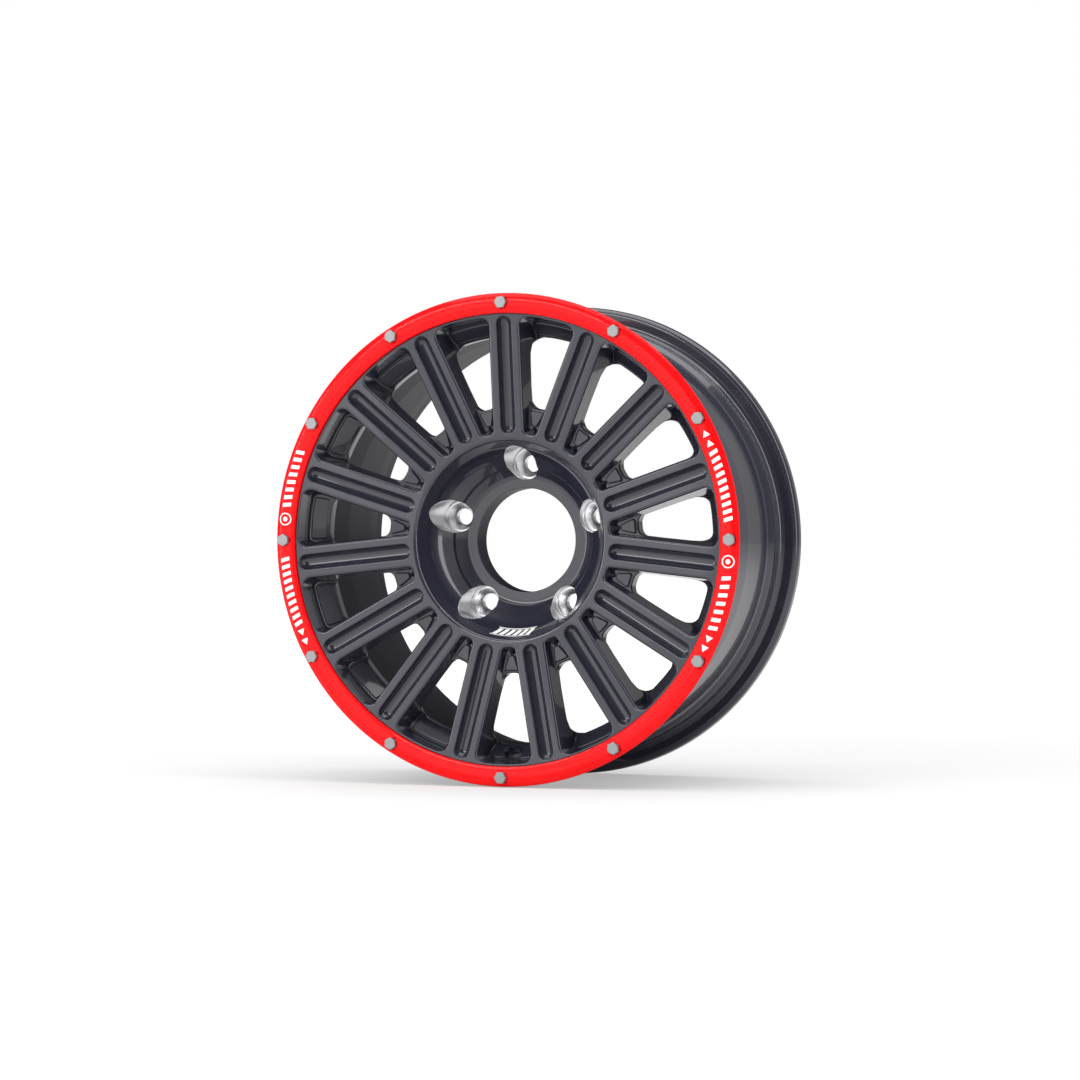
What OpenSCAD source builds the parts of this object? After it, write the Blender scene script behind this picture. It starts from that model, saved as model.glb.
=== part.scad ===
// Off-road wheel: a one-piece cast rim with spokes, and an outer ring that is screwed on.
// The wheel's axis is Y. The hub's mounting face lies on Y = 0 and faces +Y, towards the vehicle.
// Sections are drawn as [radius, height], where height is measured from the mounting face
// towards the outer side of the wheel, and are then stood up by wheel_frame().

/* [Rim] */
// Diameter of the bead seat where it meets the flange
seat_d = 405.6; // [390:0.1:420]
// Height of the rear flange above the bead seat
flange_h = 17.6; // [16:0.1:19]
// Width between the inner faces of the two flanges
rim_w = 177.8; // [165:0.1:215]
// Distance of the mounting face outwards from the middle of the rim
rim_offset = 14; // [5:0.5:20]
// Length of the rear flange along the axis
rear_flange_t = 12; // [10:0.5:14]
// Thickness of the front flange under the ring
front_flange_t = 8.1; // [7.8:0.1:9]
// Metal left outside each thread insert in the front flange
flange_wall = 1; // [0.8:0.1:1.5]
// Depth of the well below the bead seat
well_depth = 13.5; // [13:0.1:14.5]
// Wall of the barrel at the well
barrel_wall = 4.4; // [4:0.1:5]
// Height of the safety hump above its end of the bead seat
hump_h = 1.7; // [1:0.1:2.2]

/* [Hub] */
// Diameter of the centre bore
bore_d = 94.2; // [90:0.1:100]
// Diameter of the circle that the wheel studs stand on
stud_circle_d = 139.7; // [138:0.1:142]
// Number of wheel studs
stud_count = 5; // [4:1:6]
// Diameter of each stud hole
stud_hole_d = 15.5; // [14:0.1:16.5]
// Diameter of the machined pocket round each stud
stud_pocket_d = 30; // [27:0.5:32]
// Height of the floor of each stud pocket above the mounting face
stud_pocket_h = 15; // [13:0.5:17]
// Diameter of the mouth of the conical nut seat
nut_seat_d = 25; // [22:0.5:26]
// Included angle of the nut seat
nut_seat_angle = 60; // [50:1:70]
// Width of the mounting face beyond the circle of the wheel studs
mount_margin = 17.15; // [16:0.05:20]
// Height of the flat round the bore above the mounting face
bore_land_h = 23.7; // [20:0.1:27]
// Width of the hub's bowl beyond the circle of the wheel studs
bowl_margin = 19.65; // [18.5:0.05:21]

/* [Spokes] */
// Number of spokes
spoke_count = 15; // [12:1:16]
// Width of the flat face of a spoke
spoke_w = 23.6; // [20:0.1:24.5]
// Radius of the rounded long edges of a spoke
spoke_round = 3; // [2:0.1:4]
// Depth of a spoke from its face to its back
spoke_t = 24; // [20:0.5:26]
// Draft of the spoke's sides
spoke_draft = 6.5; // [4:0.5:8]
// Height of the spokes' outer ends above the ring's seat
face_step = 1.3; // [0.5:0.1:2]
// Drop of the spokes' face from the ring down to the hub
face_drop = 13; // [10:0.1:15]
// Width of the groove along each spoke
groove_w = 13.6; // [11:0.1:14.5]
// Depth of the groove
groove_depth = 8.5; // [7.2:0.1:10]
// Width of the web between the bowl and the windows
web_w = 6; // [4.5:0.1:8]
// Gap between the end of a groove and the outer edge of the windows
groove_end_gap = 0.4; // [0.2:0.1:9]
// Gap between a window's outer edge and the ring's bore
window_land = 2.2; // [1.8:0.1:3]
// Depth of the shelf at the hub end of each window, below the face
shelf_depth = 11.2; // [10:0.1:13]
// Length of the shelf along the spokes
shelf_w = 24; // [20:0.5:28]
// Width of the raised pad on the neck in each window
neck_pad_w = 38; // [34:0.5:42]
// Height of the raised pads
pad_t = 1.5; // [1:0.1:2]
// Angle between the wheel's axis and the neck that slopes from the face down to the well
neck_slope = 44; // [42:0.5:46]
// Radius of the rounding at the back of each window's outer corners
gusset_r = 9; // [6:0.5:12]

/* [Ring] */
// Radial step from the ring's bore to the bead seat
ring_step = 0.8; // [0.6:0.1:1.2]
// Width of the ring across its face
ring_w = 17.9; // [17.5:0.1:19]
// Height of the ring's crest above its seat
ring_crest_h = 6.2; // [6:0.1:7]
// Height of the ring's inner edge above its seat
ring_inner_h = 4.2; // [3.5:0.1:5]
// Height of the ring's outer edge above its seat
ring_outer_h = 2.6; // [2:0.1:3.2]
// Gap between the ring and the pilot shoulder on the rim
ring_clearance = 0.4; // [0.2:0.05:0.6]
// Number of ring bolts
bolt_count = 12; // [8:1:16]
// Diameter of the bolt thread
bolt_d = 6; // [5:0.1:6.2]
// Width of the bolt head across its flats
bolt_af = 10; // [8:0.1:10.5]
// Height of the bolt head
bolt_head_h = 4; // [3:0.1:5]
// Distance of the bolts from the ring's bore
bolt_inset = 9.5; // [9:0.1:10]
// Metal left under each thread insert
insert_floor = 1.6; // [1:0.1:3]
// Radial gap between a bolt and its hole in the ring
bolt_clearance = 0.3; // [0.2:0.05:0.5]
// Depth of the flat cut in the crest under each bolt head
spotface_depth = 0.7; // [0.5:0.05:0.9]
// Wall of each steel thread insert
insert_wall = 0.5; // [0.4:0.05:0.8]
// Radial gap on both sides of an insert's wall
thread_fit = 0.05; // [0.03:0.01:0.1]

/* [Valve hole] */
// Diameter of the valve hole
valve_hole_d = 11.3; // [11:0.1:11.7]
// Diameter of the recess round the valve hole
valve_recess_d = 16; // [15:0.1:18]
// Depth of the recess
valve_recess_depth = 4.5; // [3.5:0.1:5]

/* [Hidden] */
$fn = 96;

function two_digits(i) = str(i < 10 ? "0" : "", i);
function bolt_name(i) = str("ring_bolt_", two_digits(i));
function insert_name(i) = str("thread_insert_", two_digits(i));

paint = "#3a3a44";
ring_red = "#f01418";
zinc = "#c4c6c8";
steel = "#9a9ca0";

// Rim heights and radii
seat_r = seat_d / 2;
seat_taper = 5;
seat_fillet = 6.5;
seat_w = 14.9;
front_h = rim_w / 2 - rim_offset;
rear_h = -rim_w / 2 - rim_offset;
back_h = rear_h - rear_flange_t;
flange_r = seat_r + flange_h;
hump_root_r = seat_r - seat_w * tan(seat_taper);
hump_r = hump_root_r + hump_h;
hump_step = 3;
well_r = seat_r - well_depth;
well_in_r = well_r - barrel_wall;

// Neck: the sloping wall between the windows and the well
neck_run = (hump_r - well_r) / tan(neck_slope);
hump_front_h = front_h - seat_w - hump_step;
well_front_h = hump_front_h - neck_run;
neck_wall = 7.4;
neck_in_h = well_front_h + neck_wall / sin(neck_slope);

// Ring and its seat
seat_plane_h = front_h + front_flange_t;
ring_in_r = seat_r - ring_step;
ring_out_r = ring_in_r + ring_w;
bolt_circle_r = ring_in_r + bolt_inset;
pilot_r = ring_in_r - ring_clearance;
crest_h = seat_plane_h + ring_crest_h;
head_seat_h = crest_h - spotface_depth;
head_corner_r = bolt_af / sqrt(3);
spotface_r = head_corner_r + 0.7;
insert_r = bolt_d / 2 + thread_fit + insert_wall;
insert_hole_r = insert_r + thread_fit;
insert_bottom_h = front_h + insert_floor;
bolt_length = head_seat_h - insert_bottom_h;
front_flange_r = bolt_circle_r + insert_hole_r + flange_wall;

// Face of the spokes: a shallow cone, hub end to ring end
bowl_r = stud_circle_d / 2 + bowl_margin;
window_in_r = bowl_r + web_w;
window_out_r = ring_in_r - window_land;
groove_out_r = window_out_r - groove_end_gap;
face_rim_h = seat_plane_h + face_step;
face_hub_h = face_rim_h - face_drop;
shelf_h = face_hub_h - shelf_depth;
shelf_r = window_in_r + shelf_w;
face_slope = (face_rim_h - face_hub_h) / (window_out_r - window_in_r);
face_angle = atan(face_slope);
function face_h(r) = face_hub_h + (r - window_in_r) * face_slope;

spoke_in_r = window_in_r - 2;
through_r = well_in_r - 0.8;
through_h = neck_in_h - (well_r - through_r) / tan(neck_slope);
spoke_side = spoke_w / 2 + spoke_round * (1 - sin(spoke_draft)) / cos(spoke_draft);
neck_top_h = neck_in_h + (window_out_r - 1.3 - well_r) / tan(neck_slope);
cut_low_h = 15;
cut_high_h = crest_h + 10;
spoke_step = 360 / spoke_count;
bottom_angle = 270;
first_window_angle = bottom_angle;

// Radius of the neck's inner surface at a height above the mounting face
function neck_radius(h) = well_r + (h - neck_in_h) * tan(neck_slope);

// Points along the arc that rounds the corner b between a and c
function unit(v) = v / norm(v);
function corner_arc(a, b, c, f, n) =
    let (
        u = unit(a - b), v = unit(c - b), half = acos(u * v) / 2,
        mid = b + unit(u + v) * f / sin(half),
        p = b + u * f / tan(half) - mid, q = b + v * f / tan(half) - mid,
        start = atan2(p.y, p.x), raw = atan2(q.y, q.x) - start,
        turn = raw > 180 ? raw - 360 : raw < -180 ? raw + 360 : raw
    )
    [for (i = [0:n]) mid + f * [cos(start + turn * i / n), sin(start + turn * i / n)]];

// Outline through [x, y, rounding] corners, where a rounding of 0 stays sharp
function outline(corners, n = 4) =
    let (k = len(corners), xy = [for (c = corners) [c.x, c.y]])
    [for (i = [0:k - 1]) each corners[i].z == 0 ? [xy[i]]
        : corner_arc(xy[(i + k - 1) % k], xy[i], xy[(i + 1) % k], corners[i].z, n)];

module wheel_frame() {
    rotate([90, 0, 0]) children();
}

module around(count, first = 0) {
    for (i = [0:count - 1]) rotate([0, 0, first + i * 360 / count]) children();
}

// Front of the section: bore, hub bowl, face and ring seat
bore_r = bore_d / 2;
bore_chamfer = 1.5;
land_w = 10.7;
ridge_r = bore_r + land_w + 8;
ridge_h = bore_land_h + 7.5;
flange_edge_round = 0.6 * flange_wall;
bowl_foot = [ridge_r + 1.3, ridge_h + 3.3, 0.6];
bowl_mid = [bowl_r - 8.6, face_hub_h - 23];
front_corners = [
    [bore_r, bore_chamfer, 0],
    [bore_r, bore_land_h, 1],
    [bore_r + land_w, bore_land_h, 2],
    [ridge_r, ridge_h, 0.8],
    bowl_foot,
    [bowl_mid.x, bowl_mid.y, 55],
    [bowl_r, face_h(bowl_r), 5],
    [pilot_r, face_h(pilot_r), 0.8],
    [pilot_r, seat_plane_h, 0],
    [front_flange_r, seat_plane_h, flange_edge_round],
    [front_flange_r, front_h, flange_edge_round],
    [seat_r, front_h, seat_fillet]
];

// Outside of the barrel, from the front bead seat to the rear flange
well_rear_h = -3;
ramp_h = -30;
ramp_r = seat_r - 9;
rear_root_r = seat_r - 4.3;
rear_root_h = rear_h + seat_w + hump_step + 6.4;
barrel_corners = [
    [hump_root_r, front_h - seat_w, 3],
    [hump_r, hump_front_h, 3],
    [well_r, well_front_h, 8],
    [well_r, well_rear_h, 15],
    [ramp_r, ramp_h, 4],
    [rear_root_r, rear_root_h, 3],
    [hump_r, rear_h + seat_w + hump_step, 2.5],
    [hump_root_r, rear_h + seat_w, 3],
    [seat_r, rear_h, seat_fillet],
    [flange_r, rear_h, 9],
    [flange_r, back_h, 1.5]
];

// Inside of the barrel, the backs of the spokes and the back of the hub
lip_in_r = seat_r - 3;
shelf_back_h = shelf_h - 14.6;
bell_r = stud_circle_d / 2 + mount_margin;
inside_corners = [
    [lip_in_r + 2, back_h, 1],
    [lip_in_r, back_h + 2, 1],
    [lip_in_r - 2.2, rear_h + 8, 20],
    [rear_root_r - 4.1, rear_root_h, 6],
    [rear_root_r - 6.5, rear_root_h + 15, 6],
    [well_in_r + 1.9, well_rear_h - 13, 40],
    [well_in_r + 0.1, well_rear_h + 6, 40],
    [well_in_r, well_front_h - 3, 8],
    [well_in_r - 13, face_h(well_in_r) - spoke_t + 1, 10],
    [shelf_r + 5, face_h(shelf_r) - spoke_t + 1, 3],
    [shelf_r - 1, shelf_back_h, 3],
    [bell_r + 19, shelf_back_h, 8],
    [bell_r + 2, 18, 8],
    [bell_r, 1.5, 0],
    [bell_r - 1.5, 0, 0],
    [bore_r + bore_chamfer, 0, 0]
];

module wheel_section() {
    polygon(outline(concat(front_corners, barrel_corners, inside_corners)));
}

// Plan of one window between two spokes: straight sides along the spokes, round corners
module window_plan(side_w, in_r, out_r, in_round, out_round) {
    half = spoke_step / 2;
    function side(r, s) = [
        r * cos(half * s) + s * side_w * sin(half),
        r * sin(half * s) - s * side_w * cos(half)
    ];
    function end_x(r) = sqrt(r * r - side_w * side_w);
    a = side(end_x(in_r), 1);
    b = side(end_x(out_r), 1);
    tip = [out_r * 1.012, 0];
    polygon(outline([
        [a.x, a.y, in_round], [b.x, b.y, out_round], [tip.x, tip.y, 0],
        [b.x, -b.y, out_round], [a.x, -a.y, in_round]
    ], 6));
}

// Pocket of a window: from the face down to the shelf and to the neck's inner surface
shelf_wall_run = 7.5;
module pocket_cut() {
    intersection() {
        rotate_extrude() polygon(outline([
            [window_in_r - 8, cut_high_h, 0],
            [window_in_r - 0.6, face_hub_h, 0],
            [window_in_r + shelf_wall_run, shelf_h, 3],
            [shelf_r + 8, shelf_h, 4],
            [through_r - 13, through_h + 3.5, 4],
            [through_r - 2, through_h - 1.5, 0],
            [through_r, through_h, 0],
            [neck_radius(neck_top_h), neck_top_h, 4],
            [window_out_r, cut_high_h, 0]
        ]));
        translate([0, 0, neck_in_h - 5]) linear_extrude(cut_high_h - neck_in_h)
            window_plan(spoke_w / 2 - 0.1, window_in_r, window_out_r, 5, 8);
    }
}

// Opening of a window: from the pocket through to the inside of the barrel
module opening_cut() {
    translate([0, 0, cut_low_h]) linear_extrude(shelf_h - cut_low_h + 3)
        window_plan(spoke_side + 0.6, shelf_r, through_r, 8, gusset_r);
}

// One spoke's drafted sides and back
module spoke_body() {
    bury = 0.2;
    reach = face_h(window_out_r) - well_front_h + 6;
    start_s = spoke_in_r * 0.95;
    flat = spoke_w / 2;
    top_edge = [for (i = [0:5]) let (a = i * (90 - spoke_draft) / 5) [
        bury + spoke_round * (1 - cos(a)), flat + spoke_round * sin(a)
    ]];
    low_w = top_edge[5].y + (reach - top_edge[5].x) * tan(spoke_draft);
    one_side = concat([[-2, flat]], top_edge, [[reach, low_w]]);
    other_side = [for (i = [len(one_side) - 1:-1:0]) [one_side[i].x, -one_side[i].y]];
    intersection() {
        rotate_extrude() polygon(outline([
            [spoke_in_r, face_h(spoke_in_r) - bury, 0],
            [spoke_in_r, shelf_back_h + 1, 0],
            [shelf_r - 2, shelf_back_h + 1, 0],
            [shelf_r + 3.5, face_h(shelf_r) - spoke_t, 3],
            [well_in_r - 15, face_h(well_in_r - 15) - spoke_t, 14],
            [well_in_r + 0.8, well_front_h - 5, 0],
            [well_in_r + barrel_wall / 2, well_front_h - 5, 0],
            [neck_radius(neck_in_h) + 1.5, neck_in_h, 0],
            [window_out_r + 0.6, neck_top_h, 0],
            [window_out_r + 0.6, face_h(window_out_r) - bury, 0]
        ]));
        translate([start_s, 0, face_h(start_s)]) rotate([0, 90 - face_angle, 0])
            linear_extrude(window_out_r + 10 - start_s) polygon(concat(one_side, other_side));
    }
}

// Raised pad on the neck in a window
module neck_pad() {
    low_h = through_h + 2.4;
    high_h = low_h + 10.6;
    turn = neck_pad_w / neck_radius(low_h) * 180 / PI;
    out = [-pad_t * cos(neck_slope), pad_t * sin(neck_slope)];
    low = [neck_radius(low_h), low_h];
    high = [neck_radius(high_h), high_h];
    rotate([0, 0, -turn / 2]) rotate_extrude(angle = turn)
        polygon([low - out * 0.5, low + out, high + out, high - out * 0.5]);
}

// Raised pad on the shelf at the hub end of a window
module shelf_pad() {
    in_x = window_in_r + 9.3;
    out_x = shelf_r - 1.7;
    translate([0, 0, shelf_h - 1]) linear_extrude(pad_t + 1.5) polygon([
        [in_x, -2], [out_x, -7], [out_x, 7], [in_x, 2]
    ]);
}

// Round-ended groove with a round bottom that is flat along its middle, laid along the slope of the face
module groove_cut() {
    r = groove_w / 2;
    rise = 10;
    in_s = (window_in_r + r) / cos(face_angle);
    out_s = (groove_out_r - r) / cos(face_angle);
    section = concat(
        [[0, rise], [0, -groove_depth], [r * sin(90 / 8), -groove_depth]],
        [for (i = [2:8]) [r * sin(i * 90 / 8), -groove_depth + r - r * cos(i * 90 / 8)]],
        [[r, rise]]
    );
    mirrored = [for (i = [len(section) - 1:-1:0]) [-section[i].x, section[i].y]];
    translate([0, 0, face_h(0)]) rotate([0, -face_angle, 0]) {
        for (s = [in_s, out_s]) translate([s, 0, 0]) rotate_extrude() polygon(section);
        translate([in_s, 0, 0]) rotate([90, 0, 90])
            linear_extrude(out_s - in_s) polygon(concat(section, mirrored));
    }
}

// Machined pocket, conical nut seat and hole for one wheel stud
module stud_cut() {
    seat_depth = (nut_seat_d - stud_hole_d) / 2 / tan(nut_seat_angle / 2);
    translate([stud_circle_d / 2, 0, 0]) rotate_extrude() polygon([
        [0, -1], [stud_hole_d / 2, -1], [stud_hole_d / 2, stud_pocket_h - seat_depth],
        [nut_seat_d / 2, stud_pocket_h], [stud_pocket_d / 2, stud_pocket_h],
        [stud_pocket_d / 2, face_hub_h + 10], [0, face_hub_h + 10]
    ]);
}

// Recessed valve hole, square to the neck through the middle of its pad
module valve_cut() {
    mid_h = through_h + 7.7;
    rotate([0, 0, bottom_angle])
        translate([neck_radius(mid_h) - pad_t * cos(neck_slope), 0, mid_h + pad_t * sin(neck_slope)])
        rotate([0, neck_slope - 90, 0]) {
            translate([0, 0, -valve_recess_depth]) cylinder(h = 12, d = valve_recess_d);
            translate([0, 0, -22]) cylinder(h = 30, d = valve_hole_d);
        }
}

module wheel_casting() {
    color(paint) wheel_frame() difference() {
        union() {
            difference() {
                rotate_extrude() wheel_section();
                around(spoke_count, first_window_angle) {
                    pocket_cut();
                    opening_cut();
                }
            }
            around(spoke_count, first_window_angle + spoke_step / 2) spoke_body();
            around(spoke_count, first_window_angle) {
                neck_pad();
                shelf_pad();
            }
        }
        around(spoke_count, first_window_angle + spoke_step / 2) groove_cut();
        around(stud_count, 90) stud_cut();
        valve_cut();
        around(bolt_count, 90) translate([bolt_circle_r, 0, insert_bottom_h - 0.3])
            cylinder(h = 20, r = insert_hole_r, $fn = 32);
    }
}

module ring_section() {
    crest = bolt_circle_r - ring_in_r;
    polygon(concat(
        [[ring_in_r, seat_plane_h], [ring_in_r, seat_plane_h + ring_inner_h]],
        [for (i = [1:5]) let (t = i / 6) [
            ring_in_r + crest * t,
            seat_plane_h + ring_inner_h + (ring_crest_h - ring_inner_h) * (1 - (1 - t) * (1 - t))
        ]],
        [[bolt_circle_r, crest_h]],
        [for (i = [1:5]) let (t = i / 6) [
            bolt_circle_r + (ring_out_r - bolt_circle_r) * t,
            seat_plane_h + ring_crest_h - (ring_crest_h - ring_outer_h) * t * t
        ]],
        [
            [ring_out_r, seat_plane_h + ring_outer_h],
            [ring_out_r - 0.3, seat_plane_h + ring_outer_h - 1],
            [front_flange_r + 0.6, seat_plane_h]
        ]
    ));
}

module outer_ring() {
    color(ring_red) wheel_frame() difference() {
        rotate_extrude() ring_section();
        around(bolt_count, 90) translate([bolt_circle_r, 0, 0]) {
            cylinder(h = 200, r = bolt_d / 2 + bolt_clearance, $fn = 32);
            translate([0, 0, head_seat_h]) cylinder(h = 10, r = spotface_r, $fn = 48);
        }
    }
}

// Hexagon-headed bolt with a chamfered head and a chamfered point
module bolt_shape() {
    top = bolt_head_h;
    intersection() {
        cylinder(h = top, r = head_corner_r, $fn = 6);
        rotate_extrude() polygon([
            [0, -1], [head_corner_r + 1, -1], [head_corner_r + 1, top - 1.5],
            [head_corner_r - 0.9, top], [0, top]
        ]);
    }
    rotate_extrude() polygon([
        [0, 0.2], [bolt_d / 2, 0.2], [bolt_d / 2, -bolt_length + 0.8],
        [bolt_d / 2 - 0.7, -bolt_length], [0, -bolt_length]
    ]);
}

module at_bolt(i) {
    wheel_frame() rotate([0, 0, 90 - (i - 1) * 360 / bolt_count])
        translate([bolt_circle_r, 0, 0]) children();
}

module ring_bolt(i) {
    color(zinc) at_bolt(i) translate([0, 0, head_seat_h]) bolt_shape();
}

module thread_insert(i) {
    color(steel) at_bolt(i) translate([0, 0, insert_bottom_h]) difference() {
        cylinder(h = seat_plane_h - insert_bottom_h, r = insert_r, $fn = 32);
        translate([0, 0, -1]) cylinder(h = 20, r = bolt_d / 2 + thread_fit, $fn = 32);
    }
}

wheel_casting();
outer_ring();
for (i = [1:bolt_count]) {
    ring_bolt(i);
    thread_insert(i);
}
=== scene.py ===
"""Off-road wheel: the visible surfaces of a painted cast rim, its red outer ring, the bolts and the stage.

Shapes are worked out in wheel coordinates, in millimetres: x to the right and y up on the wheel's face,
and height measured from the hub's mounting face towards the visible side. They become part coordinates in
metres at the end.
"""

import math

import bpy
import numpy as np
from bpy.props import FloatProperty, FloatVectorProperty, IntProperty, PointerProperty
from mathutils import Matrix, Vector
from mathutils.geometry import delaunay_2d_cdt


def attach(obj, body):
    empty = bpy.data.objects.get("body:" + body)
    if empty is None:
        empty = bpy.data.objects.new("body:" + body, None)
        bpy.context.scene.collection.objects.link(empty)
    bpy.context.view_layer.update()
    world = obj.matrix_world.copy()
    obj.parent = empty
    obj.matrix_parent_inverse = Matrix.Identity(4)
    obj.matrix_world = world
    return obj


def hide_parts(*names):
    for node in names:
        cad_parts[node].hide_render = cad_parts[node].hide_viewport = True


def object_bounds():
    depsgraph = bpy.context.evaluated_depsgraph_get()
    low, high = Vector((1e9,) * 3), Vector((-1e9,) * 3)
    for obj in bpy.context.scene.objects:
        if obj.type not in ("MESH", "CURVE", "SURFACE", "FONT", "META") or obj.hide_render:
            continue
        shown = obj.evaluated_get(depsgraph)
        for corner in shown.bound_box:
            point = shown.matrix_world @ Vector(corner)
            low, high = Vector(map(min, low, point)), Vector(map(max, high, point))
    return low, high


bl_info = {
    "name": "Off-road Wheel",
    "version": (1, 0, 0),
    "blender": (4, 5, 0),
    "location": "3D View > Sidebar > Wheel",
    "description": "Builds the visible surfaces of a cast off-road wheel with a screwed-on outer ring",
    "category": "Add Mesh",
}

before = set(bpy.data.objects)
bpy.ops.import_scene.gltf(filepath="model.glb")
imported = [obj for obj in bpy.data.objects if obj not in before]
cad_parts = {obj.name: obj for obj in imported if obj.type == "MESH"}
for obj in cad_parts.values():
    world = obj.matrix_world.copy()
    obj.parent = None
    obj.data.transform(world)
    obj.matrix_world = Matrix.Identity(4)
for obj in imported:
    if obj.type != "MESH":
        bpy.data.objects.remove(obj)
cad_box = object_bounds()

MM = 0.001
STATION = 2.0  # degrees between two neighbouring points round the wheel
BOTTOM = 270.0  # angle of the window that holds the valve hole
PAINT, BARE_METAL, SATIN_PAINT = 0, 1, 2  # numbers of the casting's finishes
WELD_MM = 0.00317  # points closer than this become one
SLIVER = 1e-7  # area in square millimetres below which three points lie on one line


def linear(hex_colour):
    """An sRGB hex colour such as "2b2b34" as linear red, green, blue and alpha 1."""
    values = [int(hex_colour[i:i + 2], 16) / 255 for i in (0, 2, 4)]
    return tuple(v / 12.92 if v <= 0.04045 else ((v + 0.055) / 1.055) ** 2.4 for v in values) + (1.0,)


def length(name, about, size_mm, low=0.0):
    """A length property whose default is given in millimetres."""
    return FloatProperty(
        name=name, description=about, default=size_mm * MM, min=low, unit="LENGTH", precision=5
    )


def colour(name, about, hex_colour):
    """A colour property whose default is given as sRGB hex."""
    return FloatVectorProperty(
        name=name, description=about, default=linear(hex_colour)[:3], subtype="COLOR", min=0.0, max=1.0
    )


class RimSizes(bpy.types.PropertyGroup):
    """Sizes of the rim and of the ring on its front flange"""

    seat_r: length("Bead seat radius", "Radius of the bead seat where it meets the flange", 202.8)
    front_h: length("Front flange height", "Height of the front flange's inner face", 74.9)
    rear_h: length("Rear flange depth", "Depth of the rear flange's inner face", 102.9)
    well_r: length("Well radius", "Radius of the drop-centre well", 189.3)
    wall: length("Barrel wall", "Thickness of the barrel at the well", 4.4)
    flange_r: length("Flange radius", "Outer radius of the rear flange", 220.4)
    ring_in_r: length("Ring bore radius", "Inner radius of the outer ring", 202.0)
    ring_w: length("Ring width", "Width of the outer ring across its face", 17.9)
    ring_seat_h: length("Ring seat height", "Height of the plane the ring is screwed to", 83.0)
    bolt_count: IntProperty(name="Ring bolts", description="Number of bolts in the ring", default=12, min=3)
    bolt_af: length("Bolt head width", "Width of a bolt head across its flats", 10.0)


class FaceSizes(bpy.types.PropertyGroup):
    """Sizes of the spokes, windows and hub"""

    spoke_count: IntProperty(name="Spokes", description="Number of spokes", default=15, min=5)
    spoke_half_w: length(
        "Spoke half width", "Half the width of a spoke, at the face, before its edges are rounded", 14.48
    )
    spoke_depth: length("Spoke depth", "Depth of a spoke from its face to its back", 24.0)
    groove_half_w: length("Groove half width", "Half the width of the groove along a spoke", 6.8)
    groove_depth: length("Groove depth", "Depth of the groove along a spoke", 8.5)
    shelf_h: length("Shelf height", "Height of the shelf at the hub end of a window", 60.1)
    shelf_r: length("Shelf radius", "Radius where the shelf ends and the window goes through", 119.5)
    bore_r: length("Bore radius", "Radius of the centre bore", 47.1)
    bowl_r: length("Bowl radius", "Radius of the mouth of the hub's bowl", 89.5)
    stud_circle_r: length("Stud circle radius", "Radius of the circle of the wheel studs", 69.85)
    stud_count: IntProperty(name="Studs", description="Number of wheel studs", default=5, min=3)


class FinishColours(bpy.types.PropertyGroup):
    """Colours of the finishes"""

    paint: colour("Wheel paint", "Gloss anthracite paint of the casting", "272734")
    enamel: colour("Ring enamel", "Gloss red enamel of the ring", "f4060c")
    print_white: colour("Printed marks", "White of the printed marks", "f4f4f4")
    floor: colour("Floor", "Grey of the floor, which the lamps light up to white", "aaaaaa")


def sizes(group):
    """The lengths of a property group in millimetres, and its counts, by name."""
    values = {}
    for key in group.bl_rna.properties.keys():
        value = getattr(group, key)
        if isinstance(value, float):
            values[key] = value / MM
        elif isinstance(value, int):
            values[key] = value
    return values


def rim():
    """The rim's sizes in millimetres."""
    return sizes(bpy.context.scene.wheel_rim)


def face():
    """The face's sizes in millimetres."""
    return sizes(bpy.context.scene.wheel_face)


# Surface tools


def unit(v):
    """Vectors scaled to length 1 along their last axis."""
    return v / np.maximum(np.linalg.norm(v, axis=-1, keepdims=True), 1e-12)


def blend(a, b, t):
    """a where t is 0, b where t is 1, and a smooth S between them."""
    t = np.clip(t, 0.0, 1.0)
    t = t * t * (3 - 2 * t)
    return a * (1 - t) + b * t


def rounded(corners, radii, sides, steps=5):
    """Polylines with rounded corners, one per column.

    The shapes are (K, U, 3) for corners, (K-2, U) for radii and (K-1, U, 3) for the sides' normals. The
    arc starts before the corner by its radius over the tangent of half the angle between the two sides. Its
    centre lies on the bisector, as far off as its radius over the sine of that half angle. A radius too big
    for its sides is made smaller.
    """
    points, normals = [corners[:1]], [sides[:1]]
    t = np.linspace(0, 1, steps + 1)[:, None, None]
    last = len(corners) - 2
    for k in range(1, last + 1):
        before, after = corners[k - 1] - corners[k], corners[k + 1] - corners[k]
        length_before = np.linalg.norm(before, axis=-1, keepdims=True) * (0.995 if k == 1 else 0.49)
        length_after = np.linalg.norm(after, axis=-1, keepdims=True) * (0.995 if k == last else 0.49)
        d1, d2 = unit(before), unit(after)
        half = np.arccos(np.clip((d1 * d2).sum(-1, keepdims=True), -1, 1)) / 2
        half = np.clip(half, 0.01, math.pi / 2 - 0.002)
        reach = np.minimum(radii[k - 1][:, None] / np.tan(half), np.minimum(length_before, length_after))
        reach = np.maximum(reach, 1e-4)
        sweep = math.pi - 2 * half
        middle = corners[k] + unit(d1 + d2 + 1e-12) * reach * np.tan(half) / np.sin(half)
        a, b = corners[k] + d1 * reach - middle, corners[k] + d2 * reach - middle
        wa, wb = np.sin((1 - t) * sweep) / np.sin(sweep), np.sin(t * sweep) / np.sin(sweep)
        arc = middle + wa * a + wb * b
        straight = corners[k] + d1 * reach * (1 - t) + d2 * reach * t
        points.append(np.where(sweep < 0.01, straight, arc))
        normals.append(unit(wa * sides[k - 1] + wb * sides[k]))
    points.append(corners[-1:])
    normals.append(sides[-1:])
    return np.concatenate(points), np.concatenate(normals)


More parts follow.
